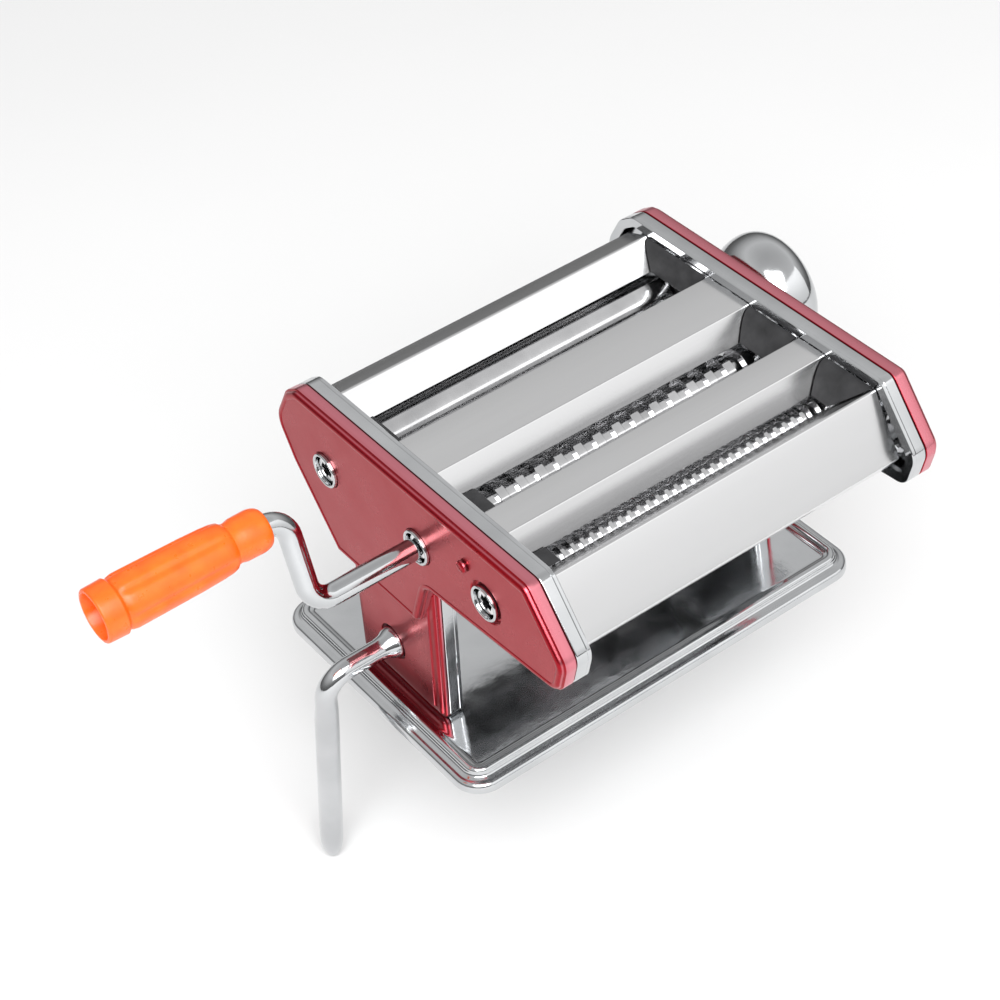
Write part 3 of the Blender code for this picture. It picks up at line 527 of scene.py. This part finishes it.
def inset(corners, distance):
    """Moves each side between the corners inwards, and keeps the arcs that turn them concentric."""
    points = [Vector(corner[:2]) for corner in corners]
    area = sum(points[i - 1].cross(points[i]) for i in range(len(points)))
    facing = 1 if area > 0 else -1
    moved = []
    for i, (across, up, radius) in enumerate(corners):
        one = (points[i] - points[i - 1]).normalized()
        two = (points[(i + 1) % len(points)] - points[i]).normalized()
        normal_one = Vector((-one.y, one.x))
        normal_two = Vector((-two.y, two.x))
        shift = (normal_one + normal_two) * facing * distance / (1 + normal_one.dot(normal_two))
        outward = 1 if one.cross(two) * facing > 0 else -1
        moved.append((across + shift.x, up + shift.y, max(radius - outward * distance, SMALLEST_ARC)))
    return moved


def at_x(outline, x):
    """Lays an outline of (y, z) points across X."""
    return [(x, y, z) for y, z in outline]


def quarter(one, two, first, steps=5):
    """The rest of a quarter ellipse from one to two, which leaves one along the first axis (0 or 1)."""
    points = []
    for k in range(1, steps + 1):
        a = pi / 2 * k / steps
        share = (sin(a), 1 - cos(a)) if first == 0 else (1 - cos(a), sin(a))
        points.append(tuple(p + (q - p) * s for p, q, s in zip(one, two, share)))
    return points


def bent(points, radius, steps=ARC_STEPS):
    """A path through the points whose inner corners are turned by arcs."""
    path = [points[0]]
    for before, corner, after in zip(points, points[1:], points[2:]):
        back = (before - corner).normalized()
        on = (after - corner).normalized()
        half = back.angle(on) / 2
        centre = corner + (back + on).normalized() * radius / sin(half)
        spoke = corner + back * radius / tan(half) - centre
        normal = back.cross(on).normalized()
        for k in range(steps + 1):
            turn = Matrix.Rotation(-(pi - 2 * half) * k / steps, 3, normal)
            path.append(centre + turn @ spoke)
    path.append(points[-1])
    return path


def combine(target, tools, operation="DIFFERENCE"):
    """Cuts the tools out of the target, or joins them to it, and removes them."""
    for tool in tools:
        modifier = target.modifiers.new(tool.name, "BOOLEAN")
        modifier.object = tool
        modifier.operation = operation
        modifier.solver = "EXACT"
    graph = bpy.context.evaluated_depsgraph_get()
    mesh = bpy.data.meshes.new_from_object(target.evaluated_get(graph))
    target.modifiers.clear()
    target.data = mesh
    for tool in tools:
        bpy.data.objects.remove(tool, do_unlink=True)
    return target


def hole(axis, radius, x0, x1):
    """A cutter for a plain round hole."""
    return turned("hole", ((x0, radius), (x1, radius)), axis)


def chamfered_hole(axis, radius, x0, x1, face, chamfer=HOLE_CHAMFER):
    """A cutter for a round hole that widens where it comes out of the face."""
    depth = chamfer if face > 0 else -chamfer
    wide = radius + 2 * chamfer
    return turned("hole", ((x0, radius), (face - depth, radius), (face + depth, wide), (x1, wide)), axis)


# ---------------------------------------------------------------- side frames and covers

def shell(name, corners, side, profile):
    """A piece through (x, distance in from the outline) sections of one outline."""
    rings = [at_x(rounded(inset(corners, margin)), side * x) for x, margin in profile]
    return mesh_object(name, skin(rings))


def bearing_slot(rear, front, radius, side):
    """A cutter for the round-ended opening that holds a pair of bearings."""
    turn = radius * 0.999         # just short of the radius, so that two arcs never share a point
    corners = (
        (rear[0] + radius, rear[1] + radius, turn),
        (rear[0] + radius, rear[1] - radius, turn),
        (front[0] - radius, front[1] - radius, turn),
        (front[0] - radius, front[1] + radius, turn),
    )
    outline = rounded(corners)
    x0, x1 = side * (PLATE_INNER - HOLE_PAST), side * (FRAME_OUTER + HOLE_PAST)
    return mesh_object("slot", skin([at_x(outline, x0), at_x(outline, x1)]))


def side_frame(label, side):
    """The chrome plate, with its flange turned inwards, a rolled outer edge and a fine groove."""
    profile = [(FRAME_OUTER, 0.0006), *quarter((FRAME_OUTER, 0.0006), (FRAME_OUTER - 0.0006, 0.0), 1),
               (RIM_INNER + 0.0019, 0.0), (RIM_INNER + 0.0017, 0.00016), (RIM_INNER + 0.0015, 0.0),
               (RIM_INNER + 0.0003, 0.0), (RIM_INNER, 0.0003), (RIM_INNER, LIP),
               (RIM_INNER + LIP_THICKNESS, LIP), (RIM_INNER + LIP_THICKNESS, FLANGE), (PLATE_INNER, FLANGE)]
    made = shell(f"chrome_frame_{label}", FRONT_CORNERS + LEG_CORNERS + BACK_CORNERS, side, profile)
    x0, x1 = side * (PLATE_INNER - HOLE_PAST), side * (FRAME_OUTER + HOLE_PAST)
    tools = [
        bearing_slot(WIDE_AXIS, WIDE_PARTNER, WIDE_SLOT, side),
        bearing_slot(FINE_AXIS, FINE_PARTNER, FINE_SLOT, side),
        hole(SMOOTH_AXIS, SMOOTH_HOLE, x0, x1),
        hole(KNOB_AXIS, AXLE_HOLE, x0, x1),
    ]
    if side < 0:
        tools.append(hole(LEVER_AXIS, LEVER_HOLE, x0, x1))
    combine(made, tools)
    dress(made, "chrome", "machine", [f"side_frame_{label}"])


def body_cap(side):
    """The upper part of a cover: a flat band, a groove, a bead and then the face."""
    band = COVER_OUTER - 0.0022
    profile = [
        (COVER_INNER + 0.0012, 0.0016),
        (COVER_INNER, 0.0016),
        (COVER_INNER, 0.0004),
        *quarter((COVER_INNER, 0.0004), (COVER_INNER + 0.0004, 0.0), 1),
        (band, 0.0),
        *quarter((band, 0.0), (band + 0.0004, 0.0007), 0),
        (band + 0.0007, 0.0009),
        *quarter((band + 0.0007, 0.0009), (COVER_OUTER, 0.0026), 0, 8),
        *quarter((COVER_OUTER, 0.0026), (COVER_FACE, 0.0036), 1),
    ]
    return shell("cap", FRONT_CORNERS + WAIST_CORNERS + BACK_CORNERS, side, profile)


def shin(side):
    """The leg of a cover: its face is set back, and it rolls down to its edge in two ripples."""
    profile = [
        (COVER_INNER + 0.0012, 0.0016),
        (COVER_INNER, 0.0016),
        (COVER_INNER, 0.0003),
        (COVER_INNER + 0.0003, 0.0),
        (COVER_INNER + 0.0008, 0.0),
        *quarter((COVER_INNER + 0.0008, 0.0), (COVER_INNER + 0.0016, 0.0012), 0),
        (COVER_INNER + 0.0015, 0.0016),
        *quarter((COVER_INNER + 0.0015, 0.0016), (COVER_INNER + 0.0026, 0.0030), 0),
        (COVER_INNER + 0.0026, 0.0040),
        *quarter((COVER_INNER + 0.0026, 0.0040), (LEG_FACE, 0.0054), 1),
    ]
    return shell("shin", SHIN_CORNERS, side, profile)


def side_cover(label, side):
    """The lacquered cap and its leg, with the holes that its side of the machine has."""
    made = combine(body_cap(side), [shin(side)], "UNION")
    x0, x1 = side * (COVER_INNER - HOLE_PAST), side * (COVER_OUTER + HOLE_PAST)
    face = side * COVER_FACE
    if side < 0:
        tools = [
            chamfered_hole(SMOOTH_AXIS, COLLAR_HOLE, x0, x1, face),
            chamfered_hole(WIDE_AXIS, COLLAR_HOLE, x0, x1, face),
            hole(FINE_AXIS, COLLAR_HOLE, x0, x1),
            chamfered_hole(FINE_AXIS, RECESS, face + RECESS_DEPTH, x1, face, 0.0004),
            chamfered_hole(LEVER_AXIS, LEVER_HOLE, x0, x1, -LEG_FACE),
            hole(SCREW_AXIS, SCREW_HOLE, x0, x1),
        ]
    else:
        detent_axis = (KNOB_AXIS[0], KNOB_AXIS[1] + DETENT_RISE)
        tools = [chamfered_hole(KNOB_AXIS, KNOB_HOLE, x0, x1, face), hole(detent_axis, DETENT_HOLE, x0, x1)]
    combine(made, tools)
    made.name = f"lacquered_cover_{label}"
    dress(made, "red_lacquer", "machine", [f"side_cover_{label}"])


def socket_collar(label, axis):
    """A bright ring with a rolled face and a dished inner edge."""
    width = COLLAR_OUTER - COLLAR_INNER
    crown = COLLAR_INNER + width * 0.55
    back = -COVER_INNER
    face = -COLLAR_FACE
    profile = [
        (back, COLLAR_INNER),
        (back, COLLAR_OUTER),
        (face + 0.0006, COLLAR_OUTER),
        *quarter((face + 0.0006, COLLAR_OUTER), (face, crown), 0),
        *quarter((face, crown), (face + 0.0007, COLLAR_INNER), 1),
    ]
    made = turned(f"ring_{label}_socket", profile, axis, closed=True)
    dress(made, "chrome", "machine", [f"socket_collar_{label}"])


def cover_screw():
    """A lacquered screw with a domed head and a driver slot."""
    lo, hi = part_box("cover_screw")
    head = lo.x + 0.0013
    radius = (hi.y - lo.y) / 2
    profile = [(hi.x, 0.0014), (head, 0.0015), (head, radius), (lo.x + 0.0009, radius),
               *quarter((lo.x + 0.0009, radius), (lo.x, radius * 0.35), 0)]
    made = turned("lacquered_screw", profile, SCREW_AXIS)
    combine(made, [block("driver", (lo.x, *SCREW_AXIS), 0.5, (0.0011, 0.0070, 0.0008))])
    dress(made, "red_lacquer", "machine", ["cover_screw"])


# ---------------------------------------------------------------- folded sheets and guides

def folded_sheet(node, points, fold=0.0009, thickness=0.0008):
    """A sheet folded along X, from the rear to the front of its outer side, with round folds."""
    path = [point.yz for point in bent([Vector((0.0, *point)) for point in points], fold, 6)]
    under = []
    for i, here in enumerate(path):
        heading = (path[min(i + 1, len(path) - 1)] - path[max(i - 1, 0)]).normalized()
        under.append(here + Vector((-heading.y, heading.x)) * thickness)
    outline = path + under[::-1]
    rings = [at_x(outline, -SHEET_END), at_x(outline, SHEET_END)]
    made = mesh_object(f"satin_{node}", skin(rings))
    dress(made, "stainless_sheet", "machine", [node])


def end_guide(label, side, trough, steps=18):
    """A black block across the end of a trough: bulging at the right, low and hollow at the left."""
    node = f"end_guide_{label}"
    lo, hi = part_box(node)
    front_crest, front, rear, rear_crest = trough
    full = hi.z - lo.z
    low = front + GUIDE_GAP
    back_low = rear - GUIDE_GAP
    rings = []
    for k in range(steps + 1):
        t = k / steps
        share = cos(t * pi / 2) if side > 0 else (1 - t) ** 3
        rise = (full - GUIDE_TIP) * share + GUIDE_TIP
        height = rise / (CREST - SLOT)
        high = low + (front_crest - front) * height
        back_high = back_low + (rear_crest - rear) * height
        x = side * (SHEET_END - (hi.x - lo.x) * t)
        top = lo.z + rise
        rings.append([(x, low, lo.z), (x, high, top), (x, back_high, top), (x, back_low, lo.z)])
    dress(mesh_object(f"guide_{label}", skin(rings)), "black_nylon", "machine", [node])


# ---------------------------------------------------------------- rollers and cutters

def disc_profile(discs, disc, core, shift):
    """Discs with broken edges and grooves between them; shift moves them by that much of a pitch."""
    pitch = 2 * BARREL_HALF / (discs + 0.5)
    width = pitch * DISC_SHARE
    profile = [(-BARREL_HALF, core)]
    for i in range(discs):
        x0 = -BARREL_HALF + pitch * (i + 0.5 + shift) - width / 2
        x1 = x0 + width
        profile += [(x0, core), (x0, disc - DISC_CHAMFER), (x0 + DISC_CHAMFER, disc),
                    (x1 - DISC_CHAMFER, disc), (x1, disc - DISC_CHAMFER), (x1, core)]
    profile.append((BARREL_HALF, core))
    return profile


def cross_socket(axis):
    """A cutter for the cross-shaped drive socket in the end of a shaft."""
    size = (2 * SOCKET_DEPTH, *SOCKET_ARM)
    arms = [block("arm", (-SOCKET_FACE, *axis), turn, size) for turn in (pi / 8, pi / 8 + pi / 2)]
    return [socket_core(axis, SOCKET_CORE), *arms]


def socket_core(axis, radius, sides=ROUND):
    """A straight cutter for the middle of a drive socket."""
    ends = (-SOCKET_FACE - CUT_PAST, -SOCKET_FACE + SOCKET_DEPTH)
    return turned("socket", [(x, radius) for x in ends], axis, sides)


def drive_shaft(node, profile, journal, axis, body, socket):
    """A shaft with the crank's socket cut into its left end by the given cutters."""
    whole = [
        (-SOCKET_FACE, DRIVE_JOURNAL - SHAFT_CHAMFER),
        (-SOCKET_FACE + SHAFT_CHAMFER, DRIVE_JOURNAL),
        (-BARREL_HALF - SHAFT_GAP, DRIVE_JOURNAL),
        *profile,
        (BARREL_HALF + SHAFT_GAP, journal),
        (SHAFT_END, journal),
    ]
    made = turned(f"polished_{node}", whole, axis)
    combine(made, socket)
    dress(made, "roller_steel", body, [node])


def plain_shaft(node, profile, journal, axis, body):
    """A shaft with the same journal at both ends."""
    whole = [
        (-SHAFT_END, journal),
        (-BARREL_HALF - SHAFT_GAP, journal),
        *profile,
        (BARREL_HALF + SHAFT_GAP, journal),
        (SHAFT_END, journal),
    ]
    dress(turned(f"polished_{node}", whole, axis), "roller_steel", body, [node])


def smooth_rollers():
    """A roller on its own shaft, and a tube that turns on the knob's axle."""
    barrel = [
        (-BARREL_HALF, SMOOTH_RADIUS - BARREL_EDGE),
        (-BARREL_HALF + BARREL_EDGE, SMOOTH_RADIUS),
        (BARREL_HALF - BARREL_EDGE, SMOOTH_RADIUS),
        (BARREL_HALF, SMOOTH_RADIUS - BARREL_EDGE),
    ]
    socket = cross_socket(SMOOTH_AXIS)
    drive_shaft("smooth_roller_drive", barrel, JOURNAL, SMOOTH_AXIS, "smooth_drive", socket)
    tube = [(-BARREL_HALF, TUBE_BORE), *barrel, (BARREL_HALF, TUBE_BORE)]
    moving = turned("polished_smooth_roller_moving", tube, MOVING_AXIS, closed=True)
    dress(moving, "roller_steel", "smooth_moving", ["smooth_roller_moving"])


def cutters():
    """Two pairs of cutters, whose discs reach into each other's grooves."""
    wide = (WIDE_DISCS, WIDE_DISC, WIDE_CORE)
    drive = disc_profile(*wide, 0.0)
    driven = disc_profile(*wide, 0.5)
    socket = [socket_core(WIDE_AXIS, SOCKET_HEX, 6)]
    drive_shaft("wide_cutter_drive", drive, JOURNAL, WIDE_AXIS, "wide_drive", socket)
    plain_shaft("wide_cutter_driven", driven, JOURNAL, WIDE_PARTNER, "wide_driven")
    fine = (FINE_DISCS, FINE_DISC, FINE_CORE)
    drive = disc_profile(*fine, 0.0)
    driven = disc_profile(*fine, 0.5)
    socket = cross_socket(FINE_AXIS)
    drive_shaft("fine_cutter_drive", drive, FINE_JOURNAL, FINE_AXIS, "fine_drive", socket)
    plain_shaft("fine_cutter_driven", driven, FINE_JOURNAL, FINE_PARTNER, "fine_driven")


# ---------------------------------------------------------------- knob

def knob():
    """A chrome dial: a narrow hub flares to the widest part, which rounds over to the face."""
    lo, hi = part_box("adjuster_knob")
    radius = (hi.z - lo.z) / 2
    seat = hi.x - KNOB_DISH_DEPTH
    groove = lo.x + KNOB_GROOVE_DEPTH
    profile = [
        (lo.x, KNOB_BORE),
        (lo.x, KNOB_SLEEVE),
        (groove, KNOB_SLEEVE),
        (groove, KNOB_GROOVE),
        (lo.x, KNOB_GROOVE),
        (lo.x, KNOB_HUB - KNOB_EDGE),
        (lo.x + KNOB_EDGE, KNOB_HUB),
        (KNOB_HUB_X, KNOB_HUB),
        *quarter((KNOB_HUB_X, KNOB_HUB), (KNOB_WIDEST_X, radius), 1, 12),
        *quarter((KNOB_WIDEST_X, radius), (hi.x, KNOB_FACE), 0, 12),
        (hi.x, KNOB_DISH),
        (seat, KNOB_DISH - 0.0002),
        (seat, KNOB_WELL),
        (KNOB_WELL_X, KNOB_WELL),
        (KNOB_WELL_X, KNOB_BORE),
    ]
    made = turned("chrome_dial", profile, KNOB_AXIS, KNOB_SIDES, closed=True)
    dress(made, "chrome", "knob", ["adjuster_knob"])


def knob_cap():
    """A thin button with a rounded edge that closes the knob's well."""
    lo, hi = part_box("knob_cap")
    radius = (hi.z - lo.z) / 2
    shoulder = hi.x - 0.0006
    profile = [
        (lo.x, radius),
        (shoulder, radius),
        *quarter((shoulder, radius), (hi.x, radius * 0.8), 0),
        (hi.x - 0.0001, radius * 0.3),
    ]
    dress(turned("dial_cap", profile, KNOB_AXIS), "chrome", "knob", ["knob_cap"])


def knob_spring():
    """A round-wire coil that closes against the axle's head when the knob is pulled out."""
    lo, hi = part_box("knob_spring")
    start = lo.x + SPRING_WIRE
    end = hi.x - SPRING_WIRE
    steps = SPRING_TURNS * 24
    centres = []
    for k in range(steps + 1):
        a = tau * SPRING_TURNS * k / steps
        y = KNOB_AXIS[0] + SPRING_COIL * cos(a)
        z = KNOB_AXIS[1] + SPRING_COIL * sin(a)
        centres.append(Vector((start + (end - start) * k / steps, y, z)))
    rings = []
    for k, centre in enumerate(centres):
        heading = (centres[min(k + 1, steps)] - centres[max(k - 1, 0)]).normalized()
        across = (ALONG_X - heading * ALONG_X.dot(heading)).normalized()
        rings.append(section(centre, across, heading.cross(across), [SPRING_WIRE] * 12))
    made = mesh_object("wire_spring", skin(rings))
    dress(made, "roller_steel", "knob", ["knob_spring"])
    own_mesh(made)


# ---------------------------------------------------------------- crank, grip and clamp lever

def section(centre, first, second, radii):
    """Points round a centre, one for each radius, starting along the first direction."""
    count = len(radii)
    return [centre + (first * cos(tau * k / count) + second * sin(tau * k / count)) * radius
            for k, radius in enumerate(radii)]


def headings(path):
    """The way a path runs at each of its points."""
    last = len(path) - 1
    return [(path[min(i + 1, last)] - path[max(i - 1, 0)]).normalized() for i in range(len(path))]


def crank_rod():
    """A round bar bent twice, with a six-sided end in the socket."""
    y, z = WIDE_AXIS
    arm_y, arm_z = GRIP_AXIS
    lo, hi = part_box("crank_rod")
    corners = [
        Vector((ROD_START_X, y, z)),
        Vector((ARM_X, y, z)),
        Vector((ARM_X, arm_y, arm_z)),
        Vector((lo.x, arm_y, arm_z)),
    ]
    path = bent(corners, ROD_BEND)
    normal = ALONG_X.cross(corners[2] - corners[1]).normalized()
    round_bar = [ROD_RADIUS] * ROD_SIDES
    rings = [section(centre, normal, heading.cross(normal), round_bar)
             for centre, heading in zip(path, headings(path))]
    first = rings[0][0] - path[0]
    turn = atan2(first.z, first.y)
    hexagon = [HEX_FLAT / cos((tau * k / ROD_SIDES - turn) % (tau / 6) - pi / 6) for k in range(ROD_SIDES)]
    heads = [section(Vector((x, y, z)), normal, (-ALONG_X).cross(normal), hexagon)
             for x in (hi.x, -SOCKET_FACE - HEX_STANDS_OUT)]
    dress(mesh_object("chrome_crank", skin(heads + rings)), "chrome", "crank", ["crank_rod"])


def flute(angle):
    """How deep the grip's grooves are at an angle round it, from 0 to 1."""
    return max(0.0, cos(angle * FLUTES)) ** 3


def crank_grip():
    """A fluted handle: open cup, collar, barrel and a smooth neck."""
    collar = MOUTH_X + 0.0085
    cup = MOUTH_X + CUP_DEPTH
    bore = ROD_RADIUS + 0.0003
    lip = (MOUTH_X, GRIP_RADIUS - 0.0009)
    profile = [                   # x, radius and how much of the flutes' depth there is
        (cup, 0.0080, 0.0), (MOUTH_X + 0.0006, 0.0086, 0.0), (MOUTH_X, 0.0090, 0.0),
        *((x, r, 0.0) for x, r in quarter(lip, (MOUTH_X + 0.0009, GRIP_RADIUS), 1)),
        (collar - 0.0006, GRIP_RADIUS + 0.0002, 0.0), (collar, GRIP_RADIUS - 0.0003, 0.0),
        (collar + 0.0007, GRIP_RADIUS - 0.0010, 0.0), (collar + 0.0016, GRIP_RADIUS - 0.0004, 0.2),
        (collar + 0.0035, GRIP_RADIUS, 0.8), (collar + 0.0070, GRIP_RADIUS, 1.0),
        (NECK_X - 0.0300, GRIP_RADIUS - 0.0003, 1.0), (NECK_X - 0.0215, GRIP_RADIUS - 0.0006, 0.9),
        (NECK_X - 0.0180, GRIP_RADIUS - 0.0009, 0.4), (NECK_X - 0.0160, GRIP_RADIUS - 0.0014, 0.0),
        (NECK_X - 0.0146, 0.0078, 0.0), (NECK_X - 0.0130, 0.0077, 0.0), (NECK_X - 0.0110, 0.0082, 0.0),
        (NECK_X - 0.0050, NECK_RADIUS, 0.0),
        *((x, r, 0.0) for x, r in quarter((NECK_X - 0.0050, NECK_RADIUS), (NECK_X, 0.0060), 0, 8)),
        (NECK_X, bore, 0.0), (cup + 0.0030, bore, 0.0),
    ]
    angles = [tau * k / GRIP_SIDES for k in range(GRIP_SIDES)]
    rings = []
    for x, radius, share in profile:
        radii = [radius - FLUTE_DEPTH * share * flute(a) for a in angles]
        rings.append(section(Vector((x, *GRIP_AXIS)), ALONG_Y, ALONG_Z, radii))
    dress(mesh_object("fluted_grip", skin(rings)), "orange_plastic", "grip", ["crank_grip"])


def blade_sections():
    """Shares of the way down the blade, each with its half width, front depth and back depth."""
    sections = [
        (0.06, BLADE_HALF * 0.9, BLADE_DEPTH, BLADE_DEPTH * 0.9),
        (0.14, BLADE_HALF, BLADE_DEPTH, BLADE_DEPTH),
        (BLADE_TIP, BLADE_HALF, BLADE_DEPTH, BLADE_DEPTH),
    ]
    steps = 8
    for k in range(1, steps + 1):
        a = pi / 2 * k / steps
        taper = 1 - cos(a)
        depth = BLADE_DEPTH * (1 - 0.71 * taper)
        share = BLADE_TIP + (1 - BLADE_TIP) * sin(a)
        sections.append((share, BLADE_HALF * (1 - 0.62 * taper), depth, depth))
    return sections


def clamp_lever():
    """A bar with a flared head in the leg's hole, bent down and widened into a blade."""
    y, z = LEVER_AXIS
    down = Vector((0.0, sin(LEVER_TILT), -cos(LEVER_TILT)))
    corner = Vector((LEVER_X, y, z))
    tail = corner + down * LEVER_LENGTH
    head = (
        (-0.0720, 0.0064),
        (-0.0800, 0.0068),
        (-0.0860, 0.0068),
        (-0.0885, 0.0060),
        (-0.0905, 0.0049),
        (-0.0935, ROD_RADIUS),
    )
    rod = bent([Vector((LEVER_HEAD_X, y, z)), corner, tail], LEVER_BEND)[:-1]
    bend_end = rod[-1]
    path = [Vector((x, y, z)) for x, _ in head] + rod
    sizes = [(radius, radius, radius) for _, radius in head] + [(ROD_RADIUS,) * 3] * len(rod)
    for share, *size in blade_sections():
        path.append(bend_end + (tail - bend_end) * share)
        sizes.append(size)
    normal = ALONG_X.cross(down).normalized()
    angles = [tau * k / LEVER_SIDES for k in range(LEVER_SIDES)]
    rings = []
    for centre, heading, (width, front, back) in zip(path, headings(path), sizes):
        across = heading.cross(normal)
        rings.append([centre + normal * width * cos(a) + across * (front if sin(a) > 0 else back) * sin(a)
                      for a in angles])
    dress(mesh_object("chrome_lever", skin(rings)), "chrome", "clamp", ["clamp_lever"])


# ---------------------------------------------------------------- base

def base_tray():
    """The pressed tray: an outer skirt, two round beads and a flat floor."""
    lo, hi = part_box("base_tray")
    floor = hi.z - 0.0025
    profile = [                   # distance in from the outer edge, and height
        (0.0130, floor - 0.0012), (0.0060, 0.0040), (0.0014, 0.0030),
        (0.0014, lo.z), (0.0, lo.z), (0.0, 0.0030),
        *quarter((0.0, 0.0030), (0.0018, 0.0052), 1),
        *quarter((0.0018, 0.0052), (0.0034, 0.0056), 0, 3),
        *quarter((0.0034, 0.0056), (0.0048, 0.0076), 0),
        *quarter((0.0048, 0.0076), (0.0064, hi.z), 1),
        *quarter((0.0064, hi.z), (0.0080, 0.0078), 0),
        (0.0086, 0.0076),
        *quarter((0.0086, 0.0076), (0.0098, 0.0068), 0, 3),
        *quarter((0.0098, 0.0068), (0.0112, floor), 1, 4),
    ]
    rings = []
    for margin, height in profile:
        x, y, radius = hi.x - margin, hi.y - margin, max(TRAY_CORNER - margin, TRAY_CORNER_LEAST)
        corners = [(-x, -y, radius), (x, -y, radius), (x, y, radius), (-x, y, radius)]
        rings.append([(*point, height) for point in rounded(corners)])
    dress(mesh_object("chrome_tray", skin(rings)), "chrome", "machine", ["base_tray"])


# ---------------------------------------------------------------- studio

def softbox(name, place, aim, size, power):
    """A rectangular light at place, turned towards aim."""
    light = bpy.data.lights.new(name, "AREA")
    light.shape = "RECTANGLE"
    light.size, light.size_y = size
    light.energy = power
    made = bpy.data.objects.new(name, light)
    made.location = place
    made.rotation_mode = "QUATERNION"
    made.rotation_quaternion = (Vector(aim) - Vector(place)).to_track_quat("-Z", "Y")
    bpy.context.scene.collection.objects.link(made)


def studio():
    """A pale floor and big soft lights, with a greyer room behind them."""
    bm = bmesh.new()
    bmesh.ops.create_grid(bm, x_segments=1, y_segments=1, size=1.6)
    floor = mesh_object("floor", bm)
    floor.location.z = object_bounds()[0][2] - 0.0005
    paint = Look("floor_paint", Roughness=0.9)
    paint.colour(paint.noise(3.0), (0.78, 0.78, 0.78), (0.80, 0.80, 0.80))
    floor.data.materials.append(paint.made)
    floor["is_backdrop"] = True
    world = bpy.data.worlds.new("studio")
    bpy.context.scene.world = world
    world.use_nodes = True
    nodes, links = world.node_tree.nodes, world.node_tree.links
    split = nodes.new("ShaderNodeSeparateXYZ")
    ramp = nodes.new("ShaderNodeValToRGB")
    links.new(nodes.new("ShaderNodeTexCoord").outputs["Generated"], split.inputs["Vector"])
    links.new(split.outputs["Z"], ramp.inputs["Fac"])
    links.new(ramp.outputs["Color"], nodes["Background"].inputs["Color"])
    stops = ramp.color_ramp.elements
    stops.remove(stops[1])
    for i, (place, grey) in enumerate(SKY):
        stop = stops.new(place) if i else stops[0]
        stop.position = place
        stop.color = (grey, grey, grey, 1.0)
    aim = (0.0, 0.0, 0.08)
    softbox("key_box", (-0.8, -1.2, 1.6), aim, (1.6, 1.6), 58.0)
    softbox("front_card", (0.74, -1.5, 0.75), aim, (2.2, 1.6), 10.0)


def camera():
    """The photograph's view, from the front left and slightly rolled."""
    across = Vector((cos(VIEW_AZIMUTH), -sin(VIEW_AZIMUTH), 0.0))
    forward = Vector((sin(VIEW_AZIMUTH) * cos(VIEW_ELEVATION), cos(VIEW_AZIMUTH) * cos(VIEW_ELEVATION),
                      -sin(VIEW_ELEVATION)))
    upward = across.cross(forward)
    right = across * cos(VIEW_ROLL) - upward * sin(VIEW_ROLL)
    up = right.cross(forward)
    turn = Matrix((right, up, -forward)).transposed()
    data = bpy.data.cameras.new("camera")
    data.lens = VIEW_LENS
    data.clip_start = 0.01
    made = bpy.data.objects.new("camera", data)
    made.matrix_world = Matrix.Translation(VIEW_FROM) @ turn.to_4x4()
    bpy.context.scene.collection.objects.link(made)
    bpy.context.scene.camera = made


# ---------------------------------------------------------------- build

def dress_frame_nodes():
    """Gives every CAD node its procedural material, by the slot that the record names for it."""
    slots = {part["node"]: part["material_slot"] for part in frame["record"]["subparts"]}
    for name, node in frame["nodes"].items():
        node.data.materials.clear()
        node.data.materials.append(LOOKS[slots[name]])


def build():
    """Dresses the CAD nodes, adds every detailed piece, and sets up the studio and camera."""
    dress_frame_nodes()
    for label, side in (("left", -1), ("right", 1)):
        side_frame(label, side)
        side_cover(label, side)
        for pair, trough in TROUGHS:
            end_guide(f"{pair}_{label}", side, trough)
    for label, axis in (("smooth", SMOOTH_AXIS), ("wide", WIDE_AXIS), ("fine", FINE_AXIS)):
        socket_collar(label, axis)
    cover_screw()
    for node, points in SHEETS:
        folded_sheet(node, points)
    smooth_rollers()
    cutters()
    knob()
    knob_cap()
    knob_spring()
    crank_rod()
    crank_grip()
    clamp_lever()
    base_tray()
    studio()
    camera()


build()
bpy.context.scene.view_settings.view_transform = "Standard"
